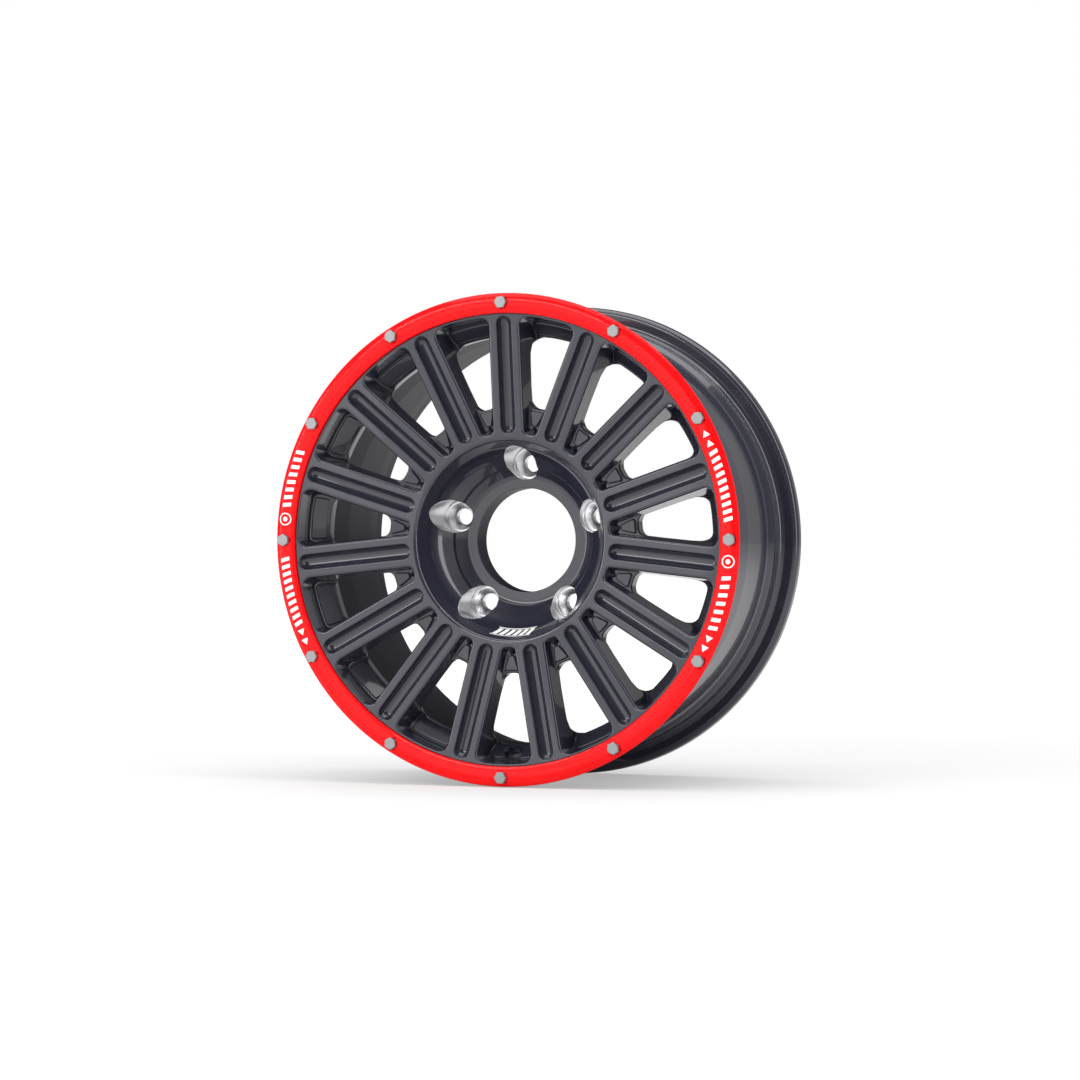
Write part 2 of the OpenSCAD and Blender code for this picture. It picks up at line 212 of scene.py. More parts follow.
def section(corners, steps=5):
    """A rounded profile from [radius, height, rounding] corners, walked with the outside on its left.

    Returns (K, 2) points and normals. A corner with no rounding still has several points, very close
    together, whose normals turn from one side's to the other's.
    """
    c = np.array(corners, float)
    along = unit(np.diff(c[:, :2], axis=0))
    left = np.stack([-along[:, 1], along[:, 0]], -1)
    places, sides = (lifted(rows, 0.0)[:, None, :] for rows in (c[:, :2], left))
    points, normals = rounded(places, c[1:-1, 2:3], sides, steps)
    return points[:, 0, :2], normals[:, 0, :2]


def polar(r, angle, height):
    """Points from radius, angle in degrees and height."""
    a = np.radians(angle)
    return np.stack(np.broadcast_arrays(r * np.cos(a), r * np.sin(a), height), -1)


def on_flat(r, angle):
    """Flat points from radius and angle in degrees."""
    return polar(r, angle, 0)[..., :2]


def lifted(flat, height):
    """Flat points given a height, which is one number or one for each point."""
    return np.concatenate([flat, np.broadcast_to(height, (len(flat),))[:, None]], 1)


def bearing(points):
    """Angles of points round the axis, in degrees."""
    return np.degrees(np.arctan2(points[..., 1], points[..., 0]))


def travel(points):
    """Distance walked along a line of points, at each of them."""
    return np.concatenate([[0], np.cumsum(np.linalg.norm(np.diff(points, axis=0), axis=1))])


def read_off(s, run, rows):
    """Rows that belong to the distances in run, read off at the distances s."""
    return np.stack([np.interp(s, run, column) for column in rows.T], -1)


def turning(angle):
    """The matrix that turns rows of coordinates round the axis by an angle in degrees."""
    t = math.radians(angle)
    return np.array([[math.cos(t), math.sin(t), 0], [-math.sin(t), math.cos(t), 0], [0, 0, 1]])


def stations(first, last, step=STATION):
    """Angles from first to last, every step degrees."""
    return np.linspace(first, last, int(round(abs(last - first) / step)) + 1)


def grid_triangles(rows, columns):
    """Triangle corners of a grid whose point (i, j) has the number i * columns + j."""
    i, j = np.meshgrid(np.arange(rows - 1), np.arange(columns - 1), indexing="ij")
    a = (i * columns + j).ravel()
    b, c, d = a + 1, a + columns + 1, a + columns
    return np.concatenate([np.stack([a, b, c], -1), np.stack([a, c, d], -1)])


def inside(points, outline):
    """True for points inside a closed outline: a line to the right crosses it an odd number of times."""
    x, y = points[:, 0:1], points[:, 1:2]
    x0, y0 = outline[None, :, 0], outline[None, :, 1]
    x1, y1 = np.roll(x0, -1, 1), np.roll(y0, -1, 1)
    spans = (y0 > y) != (y1 > y)
    with np.errstate(divide="ignore", invalid="ignore"):
        crossing = x0 + (y - y0) * (x1 - x0) / (y1 - y0)
    return (np.where(spans, x < crossing, False).sum(1) % 2) == 1


def fill(outline, holes=(), extra=(), lines=()):
    """Triangles over a flat region: an outline, holes, extra points, and lines of points that edges follow.

    Returns the region's points, outline first, then each hole, the extra points and the lines, and the
    triangles.
    """
    chains = [np.asarray(outline)] + [np.asarray(h) for h in holes]
    points, edges, count = [], [], 0
    for chain in chains:
        n = len(chain)
        edges += [(count + i, count + (i + 1) % n) for i in range(n)]
        points.append(chain)
        count += n
    if len(extra):
        points.append(np.asarray(extra))
        count += len(extra)
    for line in lines:
        edges += [(count + i, count + i + 1) for i in range(len(line) - 1)]
        points.append(np.asarray(line))
        count += len(line)
    flat = np.concatenate(points)
    made = delaunay_2d_cdt([Vector(p) for p in flat.tolist()], edges, [], 0, 1e-5, True)
    first = np.array([ids[0] if ids else -1 for ids in made[3]])
    if (first < 0).any():
        raise RuntimeError("two lines of a filled region cross")
    triangles = first[np.array(made[2])]
    middle = flat[triangles].mean(1)
    side_a, side_b = (flat[triangles[:, k]] - flat[triangles[:, 0]] for k in (1, 2))
    area = np.abs(side_a[:, 0] * side_b[:, 1] - side_a[:, 1] * side_b[:, 0])
    keep = inside(middle, chains[0]) & (area > SLIVER)
    for hole in chains[1:]:
        keep &= ~inside(middle, hole)
    return flat, triangles[keep]


def to_part(v):
    """Rows in wheel coordinates as rows in part coordinates."""
    return np.stack([v[:, 0], -v[:, 2], v[:, 1]], -1)


class Shell:
    """Surfaces that are gathered into one mesh.

    A part holds points, normals, triangles, a finish number and a lathe map: for turned surfaces, the
    millimetres across the tool's path and the turns along it at each point.
    """

    def __init__(self):
        self.parts = []

    def add(self, points, normals, triangles, finish=PAINT, lathe=None):
        """Adds triangles, turned so that each faces the way its normals point."""
        points, normals = points.reshape(-1, 3), normals.reshape(-1, 3)
        a, b, c = (points[triangles[:, i]] for i in range(3))
        turned = (np.cross(b - a, c - a) * normals[triangles].sum(1)).sum(1) < 0
        triangles = np.where(turned[:, None], triangles[:, ::-1], triangles)
        lathe = np.zeros((len(points), 2)) if lathe is None else lathe.reshape(-1, 2)
        self.parts.append((points, normals, triangles, finish, lathe))

    def grid(self, points, normals, finish=PAINT, lathe=None):
        """Adds a (rows, columns, 3) grid."""
        normals = np.broadcast_to(normals, points.shape)
        self.add(points, normals, grid_triangles(*points.shape[:2]), finish, lathe)

    def revolve(self, profile, angles, finish=PAINT):
        """Adds a profile of [radius, height] points carried round the axis through the angles."""
        points, normals = profile
        a = angles[None, :]
        lathe = np.stack(np.broadcast_arrays(travel(points)[:, None], a / 360), -1)
        self.grid(
            polar(points[:, :1], a, points[:, 1:]), polar(normals[:, :1], a, normals[:, 1:]), finish, lathe
        )

    def put(self, other, angle, flip=1):
        """Adds another shell turned round the axis, and mirrored in y first where flip is -1."""
        turn, side = turning(angle), np.array([1, flip, 1])
        for points, normals, triangles, finish, lathe in other.parts:
            self.parts.append(
                ((points * side) @ turn, (normals * side) @ turn, triangles[:, ::flip], finish, lathe)
            )

    def around(self, other, count, first=0.0):
        """Adds count copies of another shell round the axis."""
        for k in range(count):
            self.put(other, first + k * 360 / count)

    def mesh(self, name):
        """Welds equal points and makes the mesh, with each part's own normals at its corners."""
        offsets = np.cumsum([0] + [len(p[0]) for p in self.parts[:-1]])
        points = np.concatenate([p[0] for p in self.parts])
        normals = np.concatenate([p[1] for p in self.parts])
        triangles = np.concatenate([p[2] + o for p, o in zip(self.parts, offsets)])
        finish = np.concatenate([np.full(len(p[2]), p[3]) for p in self.parts])
        lathe = np.concatenate([p[4] for p in self.parts])
        keys = np.round(points / WELD_MM).astype(np.int64)
        _, first, index = np.unique(keys, axis=0, return_index=True, return_inverse=True)
        index = index.ravel()
        welded = index[triangles]
        good = (welded != np.roll(welded, 1, 1)).all(1)
        welded, finish, lathe = welded[good], finish[good], lathe[triangles[good]]
        corner_normals = unit(normals[triangles[good]]).reshape(-1, 3)
        mesh = bpy.data.meshes.new(name)
        mesh.from_pydata((to_part(points[first]) * MM).tolist(), [], welded.tolist())
        mesh.polygons.foreach_set("use_smooth", np.ones(len(welded), bool))
        mesh.polygons.foreach_set("material_index", finish.astype(np.int32))
        mesh.update()
        mesh.uv_layers.new(name="lathe").data.foreach_set("uv", lathe.astype(np.float32).ravel())
        mesh.normals_split_custom_set(to_part(corner_normals).tolist())
        return mesh


def add_piece(name, shell, materials, nodes=()):
    """Makes a shell an object that rides on the root body, takes a finish slot and replaces CAD nodes."""
    mesh = shell.mesh(name)
    for material in materials:
        mesh.materials.append(material)
    piece = bpy.data.objects.new(name, mesh)
    bpy.context.scene.collection.objects.link(piece)
    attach(piece, "root")
    if nodes:
        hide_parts(*nodes)
    return piece


# Casting


NECK_SLOPE = math.radians(44)  # between the neck's surface and the wheel's axis
GROOVE_START, GROOVE_END = 95.5, 199.4  # radii of the ends of a groove


class Face:
    """Numbers that several surfaces of the casting share, worked out once from the sizes."""

    def __init__(self):
        f, r = face(), rim()
        self.f, self.r = f, r
        self.half = 180 / f["spoke_count"]
        self.low_h = 71.3  # height of the face where the grooves start
        self.rise = (84.3 - self.low_h) / (199.8 - GROOVE_START)
        self.in_r, self.out_r = 95.3, r["ring_in_r"] - 2.2  # hub end and ring end of a window
        self.inner_wall_r = r["well_r"] - r["wall"]
        self.through_r = self.inner_wall_r - 0.8  # ring end of the opening behind a window
        self.draft = math.tan(math.radians(6.5))  # how far a cast wall leans per millimetre of its depth
        self.web_r = 92.6  # where the bowl's rim has become the flat face
        self.edge_r = r["ring_in_r"] - 1.0  # where the face turns over to the ring's pilot shoulder
        self.shelf_back_h = f["shelf_h"] - 14.6
        self.back_r = 112.0  # where the flat back of the shelf begins
        self.top_h = 36.0  # where the barrel's inside has become a plain tube
        # valve hole: a [radius, height] place on the neck, the way out of it, and the place on the far side
        self.valve_in = np.array([191.5, self.neck(191.5)])
        self.out_of_neck = np.array([-math.cos(NECK_SLOPE), math.sin(NECK_SLOPE)])
        self.valve_out = self.valve_in - 7.4 * self.out_of_neck

    def height(self, r):
        """Height of the face at radius r: a shallow cone that rises towards the ring."""
        return self.low_h + (r - GROOVE_START) * self.rise

    def neck(self, r):
        """Height of the neck's slope at radius r, level where it would pass under the spokes' backs."""
        level_h, level_r, blend_w, foot_h = 58.9, 176.0, 7.5, 53.26
        slope = foot_h + (r - self.r["well_r"]) / math.tan(NECK_SLOPE)
        return blend(level_h, slope, (r - level_r) / blend_w)

    def back_profile(self, steps):
        """Backs of the shelf and spokes, to the barrel's inside: points and normals facing the vehicle."""
        s, w = self.f["shelf_r"], self.inner_wall_r
        depth = self.f["spoke_depth"] - 1
        points, normals = section([
            [w, self.top_h, 0],
            [w, 39.6, 8],
            [w - 13, self.height(w) - depth, 10],
            [s + 5, self.height(s) - depth, 3],
            [s - 1, self.shelf_back_h, 3],
            [self.back_r, self.shelf_back_h, 0],
        ], steps)
        return points[::-1], normals[::-1]


def half_outline(side, r_in, round_in, r_out, round_out, counts, breaks=()):
    """Half of a window's outline, from its hub end's middle along one spoke to its ring end's middle.

    The spoke lies on the x axis and the window's middle at half a spoke step. The outline is an arc of
    radius r_in, a corner of radius round_in, the straight line y = side, a corner of radius round_out and
    an arc of radius r_out. A corner's centre is one rounding away from both the line and the arc. Returns
    points and normals into the window.
    """
    half = math.radians(180 / face()["spoke_count"])
    side_in, side_out = side
    y_in, y_out = side_in + round_in, side_out + round_out
    corner_in = np.array([math.sqrt((r_in + round_in) ** 2 - y_in * y_in), y_in])
    corner_out = np.array([math.sqrt((r_out - round_out) ** 2 - y_out * y_out), y_out])
    start, end = (math.atan2(centre[1], centre[0]) for centre in (corner_in, corner_out))
    knots = [corner_in[0], *breaks, corner_out[0]]

    def arc(centre, radius, first, last, count, facing=1):
        a = np.linspace(first, last, count + 1)[:-1]
        spoke = np.stack([np.cos(a), np.sin(a)], -1)
        return centre + radius * spoke, facing * spoke

    pieces = [
        arc(np.zeros(2), r_in, half, start, counts[0]),
        arc(corner_in, round_in, start + math.pi, 1.5 * math.pi, counts[1], -1),
    ]
    for x0, x1, count in zip(knots[:-1], knots[1:], counts[2:-2]):
        x = np.linspace(x0, x1, count + 1)[:-1]
        y = side_in + (side_out - side_in) * (x - knots[0]) / (knots[-1] - knots[0])
        pieces.append((np.stack([x, y], -1), np.tile([0.0, 1.0], (count, 1))))
    pieces.append(arc(corner_out, round_out, -0.5 * math.pi, end, counts[-2], -1))
    pieces.append(arc(np.zeros(2), r_out, end, half, counts[-1], -1))
    last = np.array([[math.cos(half), math.sin(half)]])
    pieces.append((r_out * last, -last))
    return tuple(np.concatenate(kind) for kind in zip(*pieces))


# Points on each stretch of a window's half outline: hub end, hub corner, side along the shelf, open side,
# side along the neck, ring corner and ring end
STRETCHES = (2, 5, 6, 7, 6, 6, 6)
STARTS = np.cumsum((0,) + STRETCHES)
ALONG = np.arange(STARTS[-1] + 1)  # numbers of the points along the half outline
BY_SHELF, BY_NECK = ALONG < STARTS[3], ALONG >= STARTS[4]
ALONG_NECK = (ALONG - STARTS[4]) / (STARTS[5] - STARTS[4])  # share of the side along the neck that is done


def window_outlines(c):
    """Half outlines of a window on the face and of the opening in its floor, with normals into the window."""
    hub_end, hub_corner, by_shelf, by_opening, by_neck, ring_corner, ring_end = STRETCHES
    side_w = c.f["spoke_half_w"]
    opening_round, hub_round, ring_round = 8.0, 5.0, 8.0
    opening = half_outline(
        (side_w + 1.7, side_w + 2.6), c.f["shelf_r"], opening_round, c.through_r, opening_round,
        (hub_end + hub_corner, by_shelf, by_opening, by_neck, ring_corner + ring_end)
    )
    knots = (opening[0][STARTS[3], 0], opening[0][STARTS[4], 0])
    top = half_outline((side_w, side_w), c.in_r, hub_round, c.out_r, ring_round, STRETCHES, knots)
    return top, opening


def window_wall(c, top, top_n, opening):
    """A window's wall from its rounded edge on the face to its foot, and the edge of the floor's opening.

    Returns corners as points, and how far the wall leans into the window per millimetre of depth.
    """
    hub_lean, ring_lean = 0.69, 0.08
    hub_edge, side_edge, ring_edge = 1.5, 2.68, 0.85  # width of the rounded edge
    t_hub = (ALONG - STARTS[1]) / (STARTS[2] - STARTS[1])
    t_ring = (ALONG - STARTS[5]) / (STARTS[6] - STARTS[5])
    lean = np.where(BY_SHELF, blend(hub_lean, c.draft, t_hub), blend(c.draft, ring_lean, t_ring))
    edge = np.where(BY_SHELF, blend(hub_edge, side_edge, t_hub), blend(side_edge, ring_edge, t_ring))
    edge_xy = top - top_n * edge[:, None]
    top_h = c.height(np.hypot(*top.T))

    # floor level where the wall meets it, found in a few rounds where the floor is the neck's slope
    neck_depth, rounds = 22.4, 6
    open_t = (ALONG - STARTS[3]) / (STARTS[4] - STARTS[3])
    shelf_depth = top_h[STARTS[3]] - c.f["shelf_h"]
    foot_depth = np.where(
        BY_SHELF, top_h - c.f["shelf_h"], shelf_depth + (neck_depth - shelf_depth) * open_t
    )
    for _ in range(rounds):
        foot = top + top_n * (foot_depth * lean)[:, None]
        foot_depth = np.where(BY_NECK, top_h - c.neck(np.hypot(*foot.T)), foot_depth)
    foot = top + top_n * (foot_depth * lean)[:, None]
    foot_h = top_h - foot_depth

    # beside a spoke the opening's edge lies just inside the foot
    opening = np.where((~BY_SHELF & ~BY_NECK)[:, None], foot + top_n * 0.06, opening)
    opening_h = np.where(BY_NECK, c.neck(np.hypot(*opening.T)), foot_h - 0.3)
    opening_h = np.where(BY_SHELF, c.f["shelf_h"], opening_h)
    corners = [
        lifted(edge_xy, c.height(np.hypot(*edge_xy.T))), lifted(top, top_h), lifted(foot, foot_h),
        lifted(opening, opening_h)
    ]
    return corners, lean


def window_back(c, opening, opening_h, opening_n):
    """The lower edge of a window's opening, and the end of the narrow strip behind it on the back surface.

    The end is given by its distance along the back profile and its angle. Returns the lower edge, the lean of
    the wall above it, the end's distances and angles, and the profile as points, normals and distances.
    """
    shelf_lean, strip, neck_low_h = 0.03, 3.4, 43.5
    profile, profile_n = c.back_profile(24)
    run = travel(profile)
    back_h = np.interp(np.hypot(*opening.T), profile[:, 0], profile[:, 1])
    low_lean = blend(shelf_lean, c.draft, (ALONG - STARTS[2]) / STRETCHES[2])
    low_lean = np.where(BY_SHELF, low_lean, c.draft)
    low = opening + opening_n * ((opening_h - back_h) * low_lean)[:, None]
    low_r = np.hypot(*low.T)
    low_h = np.interp(low_r, profile[:, 0], profile[:, 1])
    end = low - opening_n * strip
    end_run = np.interp(np.hypot(*end.T), profile[:, 0], run)
    end_run = np.where(BY_NECK, blend(end_run[STARTS[4]], run[-1], ALONG_NECK), end_run)
    end_angle = np.where(BY_NECK, blend(bearing(end), bearing(opening), ALONG_NECK), bearing(end))
    low_ring_r = blend(low_r[STARTS[4]], c.through_r + 0.3, ALONG_NECK)
    low *= np.where(BY_NECK & (ALONG_NECK >= 1), low_ring_r / low_r, 1.0)[:, None]
    low_h = np.where(BY_NECK, blend(low_h[STARTS[4]], neck_low_h, ALONG_NECK), low_h)
    return lifted(low, low_h), low_lean, end_run, end_angle, (profile, profile_n, run)


def window_surface(c):
    """One half of a window's wall, floor and back edge, as a grid: along its outline, and down its profile.

    At each place of the outline a polyline runs from the face over the edge, down the wall, across the
    shelf or the neck to the opening's edge, down to the back, and a little way along it. Its corners are
    rounded. Beside a spoke the floor has no width, so the wall simply goes through.
    """
    (top, top_n), (opening, opening_n) = window_outlines(c)
    corners, lean = window_wall(c, top, top_n, opening)
    edge_at, _, foot, opening = corners
    low, low_lean, end_run, end_angle, back = window_back(c, opening[:, :2], opening[:, 2], opening_n)
    profile, profile_n, run = back
    end, end_n = (read_off(end_run, run, rows) for rows in (profile, profile_n))
    corners += [low, polar(end[:, 0], end_angle, end[:, 1])]

    def radial(points):
        return unit(lifted(points[:, :2], 0.0))

    up = np.array([0.0, 0.0, 1.0])
    neck_n = unit(-radial(foot) / math.tan(NECK_SLOPE) + up)
    neck_share = blend(0.0, 1.0, ALONG_NECK)[:, None]
    floor_n = np.where(BY_SHELF[:, None], up, unit(neck_share * neck_n + (1 - neck_share) * up))
    sides = np.stack([
        unit(-c.rise * radial(edge_at) + up), unit(lifted(top_n, lean)), floor_n,
        unit(lifted(opening_n, low_lean)), unit(polar(end_n[:, 0], end_angle, end_n[:, 1]))
    ])
    # rounding at the face's edge, the foot, the opening's edge and the lower edge
    wide = np.linalg.norm((opening - foot)[:, :2], axis=1)
    each = np.ones(len(ALONG))
    radii = np.stack([50.0 * each, np.minimum(3.4, wide * 0.7), np.minimum(1.8, wide * 0.5), 2.4 * each])
    points, normals = rounded(np.stack(corners), radii, sides, 5)
    return {
        "points": points, "normals": normals, "edge": edge_at[:, :2], "end_run": end_run,
        "end_angle": end_angle, "on_wall": STARTS[5], "profile": back,
    }


def groove(c):
    """The groove along a spoke: a profile carried along half of a stadium, the points near a straight line.

    The profile turns over the lip, drops, and follows a quarter of a circle to the middle. The line runs
    along the slope of the face between the two end centres, and round each end the profile turns through
    a quarter.
    """
    r, depth, lip = c.f["groove_half_w"], c.f["groove_depth"], 1.2
    s0, s1 = GROOVE_START + r, GROOVE_END - r
    a = np.radians(np.linspace(0, 90, 5))
    q = np.radians(np.linspace(0, 90, 9))
    away = np.concatenate([r + lip * (1 - np.sin(a)), r * np.cos(q)])
    down = np.concatenate([lip * (1 - np.cos(a)), depth - r + r * np.sin(q)])
    n_away = np.concatenate([-np.sin(a), -np.cos(q)])
    n_up = np.concatenate([np.cos(a), np.sin(q)])
    end_steps = 8
    turn = np.radians(np.linspace(0, 90, end_steps))
    line = np.linspace(s0, s1, 17)[1:-1]
    centre = np.concatenate([np.full(end_steps, s0), line, np.full(end_steps, s1)])
    spoke = np.concatenate([
        np.stack([-np.cos(turn), np.sin(turn)], -1), np.tile([0.0, 1.0], (len(line), 1)),
        np.stack([np.cos(turn[::-1]), np.sin(turn[::-1])], -1)
    ])
    x = centre[None] + away[:, None] * spoke[None, :, 0]
    y = away[:, None] * spoke[None, :, 1]
    height = np.where(down[:, None] == 0, c.height(np.hypot(x, y)), c.height(x) - down[:, None])
    up = unit(np.array([-c.rise, 0, 1.0]))
    normals = unit(n_away[:, None, None] * lifted(spoke, 0.0)[None] + n_up[:, None, None] * up)
    return np.stack([x, y, height], -1), normals


NECK_ROW = 12  # row of a window's grid where the neck's straight stretch begins
VALVE_COLUMNS = 6  # columns of that grid, each side of the window's middle, that the valve hole takes up
VALVE_HOLE_R, VALVE_RECESS_R, VALVE_RECESS_DEPTH = 5.65, 8.0, 4.5
VALVE_GAP = 4  # degrees on each side of the valve hole that the barrel's outside leaves out
HOLE_STEPS = 36  # points round a hole


def circle(radius, count=HOLE_STEPS):
    """Points round a circle, starting on the x axis."""
    a = np.linspace(0, 2 * math.pi, count, endpoint=False)
    return radius * np.stack([np.cos(a), np.sin(a)], -1)


def on_neck(place, flat):
    """Points on the neck. flat is millimetres up its slope and across it, from a [radius, height] place."""
    r, h = place[0] + flat[:, 0] * math.sin(NECK_SLOPE), place[1] + flat[:, 0] * math.cos(NECK_SLOPE)
    return polar(r, BOTTOM + np.degrees(flat[:, 1] / place[0]), h)


def off_neck(place, points):
    """Millimetres up the neck's slope and across it, from a [radius, height] place, of points on the neck."""
    return np.stack([
        (np.hypot(points[:, 0], points[:, 1]) - place[0]) / math.sin(NECK_SLOPE),
        np.arctan2(points[:, 0], -points[:, 1]) * place[0]
    ], -1)


def ring_of(points):
    """A closed loop of points with its first point added at the end."""
    return np.concatenate([points, points[:1]])


def valve_inside(c, shell, w):
    """The neck's surface round the valve recess, the recess and the hole.

    The strip that the window's grid leaves out is filled on the flat, up the slope and across it, round a
    circle. The recess is a cylinder square to the neck with a flat floor, and the hole goes on from the
    floor.
    """
    spoke, across = polar(1.0, BOTTOM, 0.0), polar(1.0, BOTTOM + 90, 0.0)
    up = spoke * math.sin(NECK_SLOPE) + np.array([0, 0, math.cos(NECK_SLOPE)])
    out = spoke * c.out_of_neck[0] + np.array([0, 0, c.out_of_neck[1]])
    floor = polar(c.valve_in[0], BOTTOM, c.valve_in[1]) - VALVE_RECESS_DEPTH * out
    rows = []
    for row in (NECK_ROW, NECK_ROW + 1):
        half = w["points"][row, w["points"].shape[1] - 1 - VALVE_COLUMNS:]
        # the half beside the valve belongs to the spoke before it, and its mirror image to the next one
        one = half @ turning(BOTTOM - c.half)
        rows.append(np.concatenate([one, (one * [-1, 1, 1])[::-1][1:]]))
    edge = np.concatenate([rows[0], rows[1][::-1]])
    flat_edge = off_neck(c.valve_in, edge)
    room = min(abs(flat_edge[:, 0].min()), flat_edge[:, 0].max())
    recess = min(VALVE_RECESS_R, room - 0.12)
    hole = circle(recess)
    _, triangles = fill(flat_edge, [hole])
    rim_points = on_neck(c.valve_in, hole)
    points = np.concatenate([edge, rim_points])
    shell.add(points, polar(c.out_of_neck[0], bearing(points), c.out_of_neck[1]), triangles)
    away = unit(hole)
    round_out = away[:, :1] * up + away[:, 1:] * across
    for top, low, normals in (
        (rim_points, floor + recess * round_out, -round_out),
        (floor + recess * round_out, floor + VALVE_HOLE_R * round_out, out + 0 * round_out),
        (floor + VALVE_HOLE_R * round_out, on_neck(c.valve_out, circle(VALVE_HOLE_R)), -round_out),
    ):
        shell.grid(np.stack([ring_of(top), ring_of(low)]), np.stack([ring_of(normals)] * 2))


def valve_outside(c, shell, ends, normal):
    """The outside of the neck round the valve hole, between two [radius, height] ends of the profile."""
    angles = stations(BOTTOM - VALVE_GAP, BOTTOM + VALVE_GAP)
    (r0, h0), (r1, h1) = ends
    edge = np.concatenate([polar(r0, angles, h0), polar(r1, angles[::-1], h1)])
    hole = circle(VALVE_HOLE_R)
    _, triangles = fill(off_neck(c.valve_out, edge), [hole])
    points = np.concatenate([edge, on_neck(c.valve_out, hole)])
    shell.add(points, polar(normal[0], bearing(points), normal[1]), triangles)


def raised_patch(shell, outline, place, height, bevel, sink=0.6, spacing=2.5, steps=4):
    """A closed raised patch on a surface.

    outline is a closed line on the flat, place(flat, lift) gives points and normals that far above the
    surface, and the side follows a quarter of an ellipse, bevel wide and height high. The underside lies
    sink below.
    """
    after, before = np.roll(outline, -1, 0) - outline, outline - np.roll(outline, 1, 0)
    tangent = unit(unit(after) + unit(before))
    area = (outline[:, 0] * np.roll(outline[:, 1], -1) - outline[:, 1] * np.roll(outline[:, 0], -1)).sum()
    outward = np.stack([tangent[:, 1], -tangent[:, 0]], -1) * math.copysign(1, area)
    a = np.radians(np.linspace(0, 90, steps + 1))
    inset = np.concatenate([[0.0], bevel * (1 - np.cos(a))])
    lift = np.concatenate([[-sink], height * np.sin(a)])
    lean = np.concatenate([[0.0], a])
    flat_lift = np.zeros(len(outline))
    base, surface_n = place(outline, flat_lift)
    sideways = unit(place(outline + outward * 0.01, flat_lift)[0] - base)
    points, normals = [], []
    for across, up, turn in zip(inset, lift, lean):
        points.append(ring_of(place(outline - outward * across, flat_lift + up)[0]))
        normals.append(ring_of(unit(
            sideways * math.cos(turn) / max(bevel, 0.02) + surface_n * math.sin(turn) / height
        )))
    shell.grid(np.stack(points), np.stack(normals))
    low, high = outline.min(0), outline.max(0)
    x, y = (np.arange(low[k] + 0.53 * spacing, high[k], spacing) for k in (0, 1))
    x, y = np.meshgrid(x, y, indexing="ij")
    extra = np.stack([x.ravel(), y.ravel()], -1)
    for loop, up, sign in ((outline - outward * inset[-1], height, 1), (outline, -sink, -1)):
        inner = extra
        if len(extra):
            clear = np.linalg.norm(loop[None] - extra[:, None], axis=-1).min(1)
            inner = extra[inside(extra, loop) & (clear > spacing * 0.35)]
        flat, triangles = fill(loop, extra=inner)
        points, normals = place(flat, np.full(len(flat), up))
        shell.add(points, normals * sign, triangles)


def round_corners(corners, steps=4, spacing=None):
    """A closed outline through [x, y, rounding] corners, with points about spacing apart on its sides."""
    c = np.array(corners, float)
    points = []
    for k in range(len(c)):
        here, before, after = c[k, :2], c[k - 1, :2], c[(k + 1) % len(c), :2]
        d1, d2, r = unit(before - here), unit(after - here), c[k, 2]
        if r == 0:
            points.append(here)
            continue
        half = math.acos(np.clip(d1 @ d2, -1, 1)) / 2
        centre = here + unit(d1 + d2) * r / math.sin(half)
        a, b = (here + d * r / math.tan(half) - centre for d in (d1, d2))
        sweep = math.pi - 2 * half
        t = np.linspace(0, 1, steps + 1)[:, None]
        points += list(centre + (np.sin((1 - t) * sweep) * a + np.sin(t * sweep) * b) / math.sin(sweep))
    if spacing:
        loose, points = points, []
        for k, p in enumerate(loose):
            q = loose[(k + 1) % len(loose)]
            n = max(1, int(np.linalg.norm(q - p) / spacing + 0.5))
            points += [p + (q - p) * i / n for i in range(n)]
    return np.array(points)


def build_pads(c, shell):
    """Raised cast pads on the neck and on the shelf of each window. The valve divides its neck's pad."""
    half_w, corner, valve_room, hollow_r = 19.0, 2.0, 7.6, 8.6
    low_h, high_h = 50.27, 60.87  # the neck's pads lie between these heights
    low_s, high_s = ((h - c.valve_in[1]) / math.cos(NECK_SLOPE) for h in (low_h, high_h))

    def above_neck(flat, lift):
        points = on_neck(c.valve_in, flat)
        normals = polar(c.out_of_neck[0], bearing(points), c.out_of_neck[1])
        return points + normals * lift[:, None], normals

    def above_shelf(flat, lift):
        points = np.stack([flat[:, 1], -flat[:, 0], c.f["shelf_h"] + lift], -1)
        return points, np.tile([0.0, 0.0, 1.0], (len(flat), 1))

    whole = round_corners([
        [low_s, -half_w, corner], [high_s, -half_w, corner], [high_s, half_w, corner], [low_s, half_w, corner]
    ], spacing=2.4)
    # beside the valve the pad ends in a hollow round the recess
    a = np.radians(np.linspace(-45, 45, 9))
    hollow = hollow_r * np.stack([np.sin(a), np.cos(a)], -1)
    beside_valve = np.concatenate([hollow, round_corners([
        [high_s, valve_room, 0], [high_s, half_w, corner], [low_s, half_w, corner], [low_s, valve_room, 0]
    ])])
    shelf = round_corners([
        [103.6, -2.7, 1.9], [117.6, -7.6, 2.2], [117.6, 7.6, 2.2], [103.6, 2.7, 1.9]
    ], spacing=2.4)
    pad, valve_pad, shelf_pad = Shell(), Shell(), Shell()
    raised_patch(pad, whole, above_neck, 1.5, 1.1)
    raised_patch(valve_pad, beside_valve, above_neck, 1.5, 0.9)
    raised_patch(shelf_pad, shelf, above_shelf, 2.6, 1.5)
    for k in range(c.f["spoke_count"]):
        angle = k * 2 * c.half
        shell.put(shelf_pad, angle)
        if k:
            shell.put(pad, angle)
    shell.put(valve_pad, 0)
    shell.put(valve_pad, 180, -1)


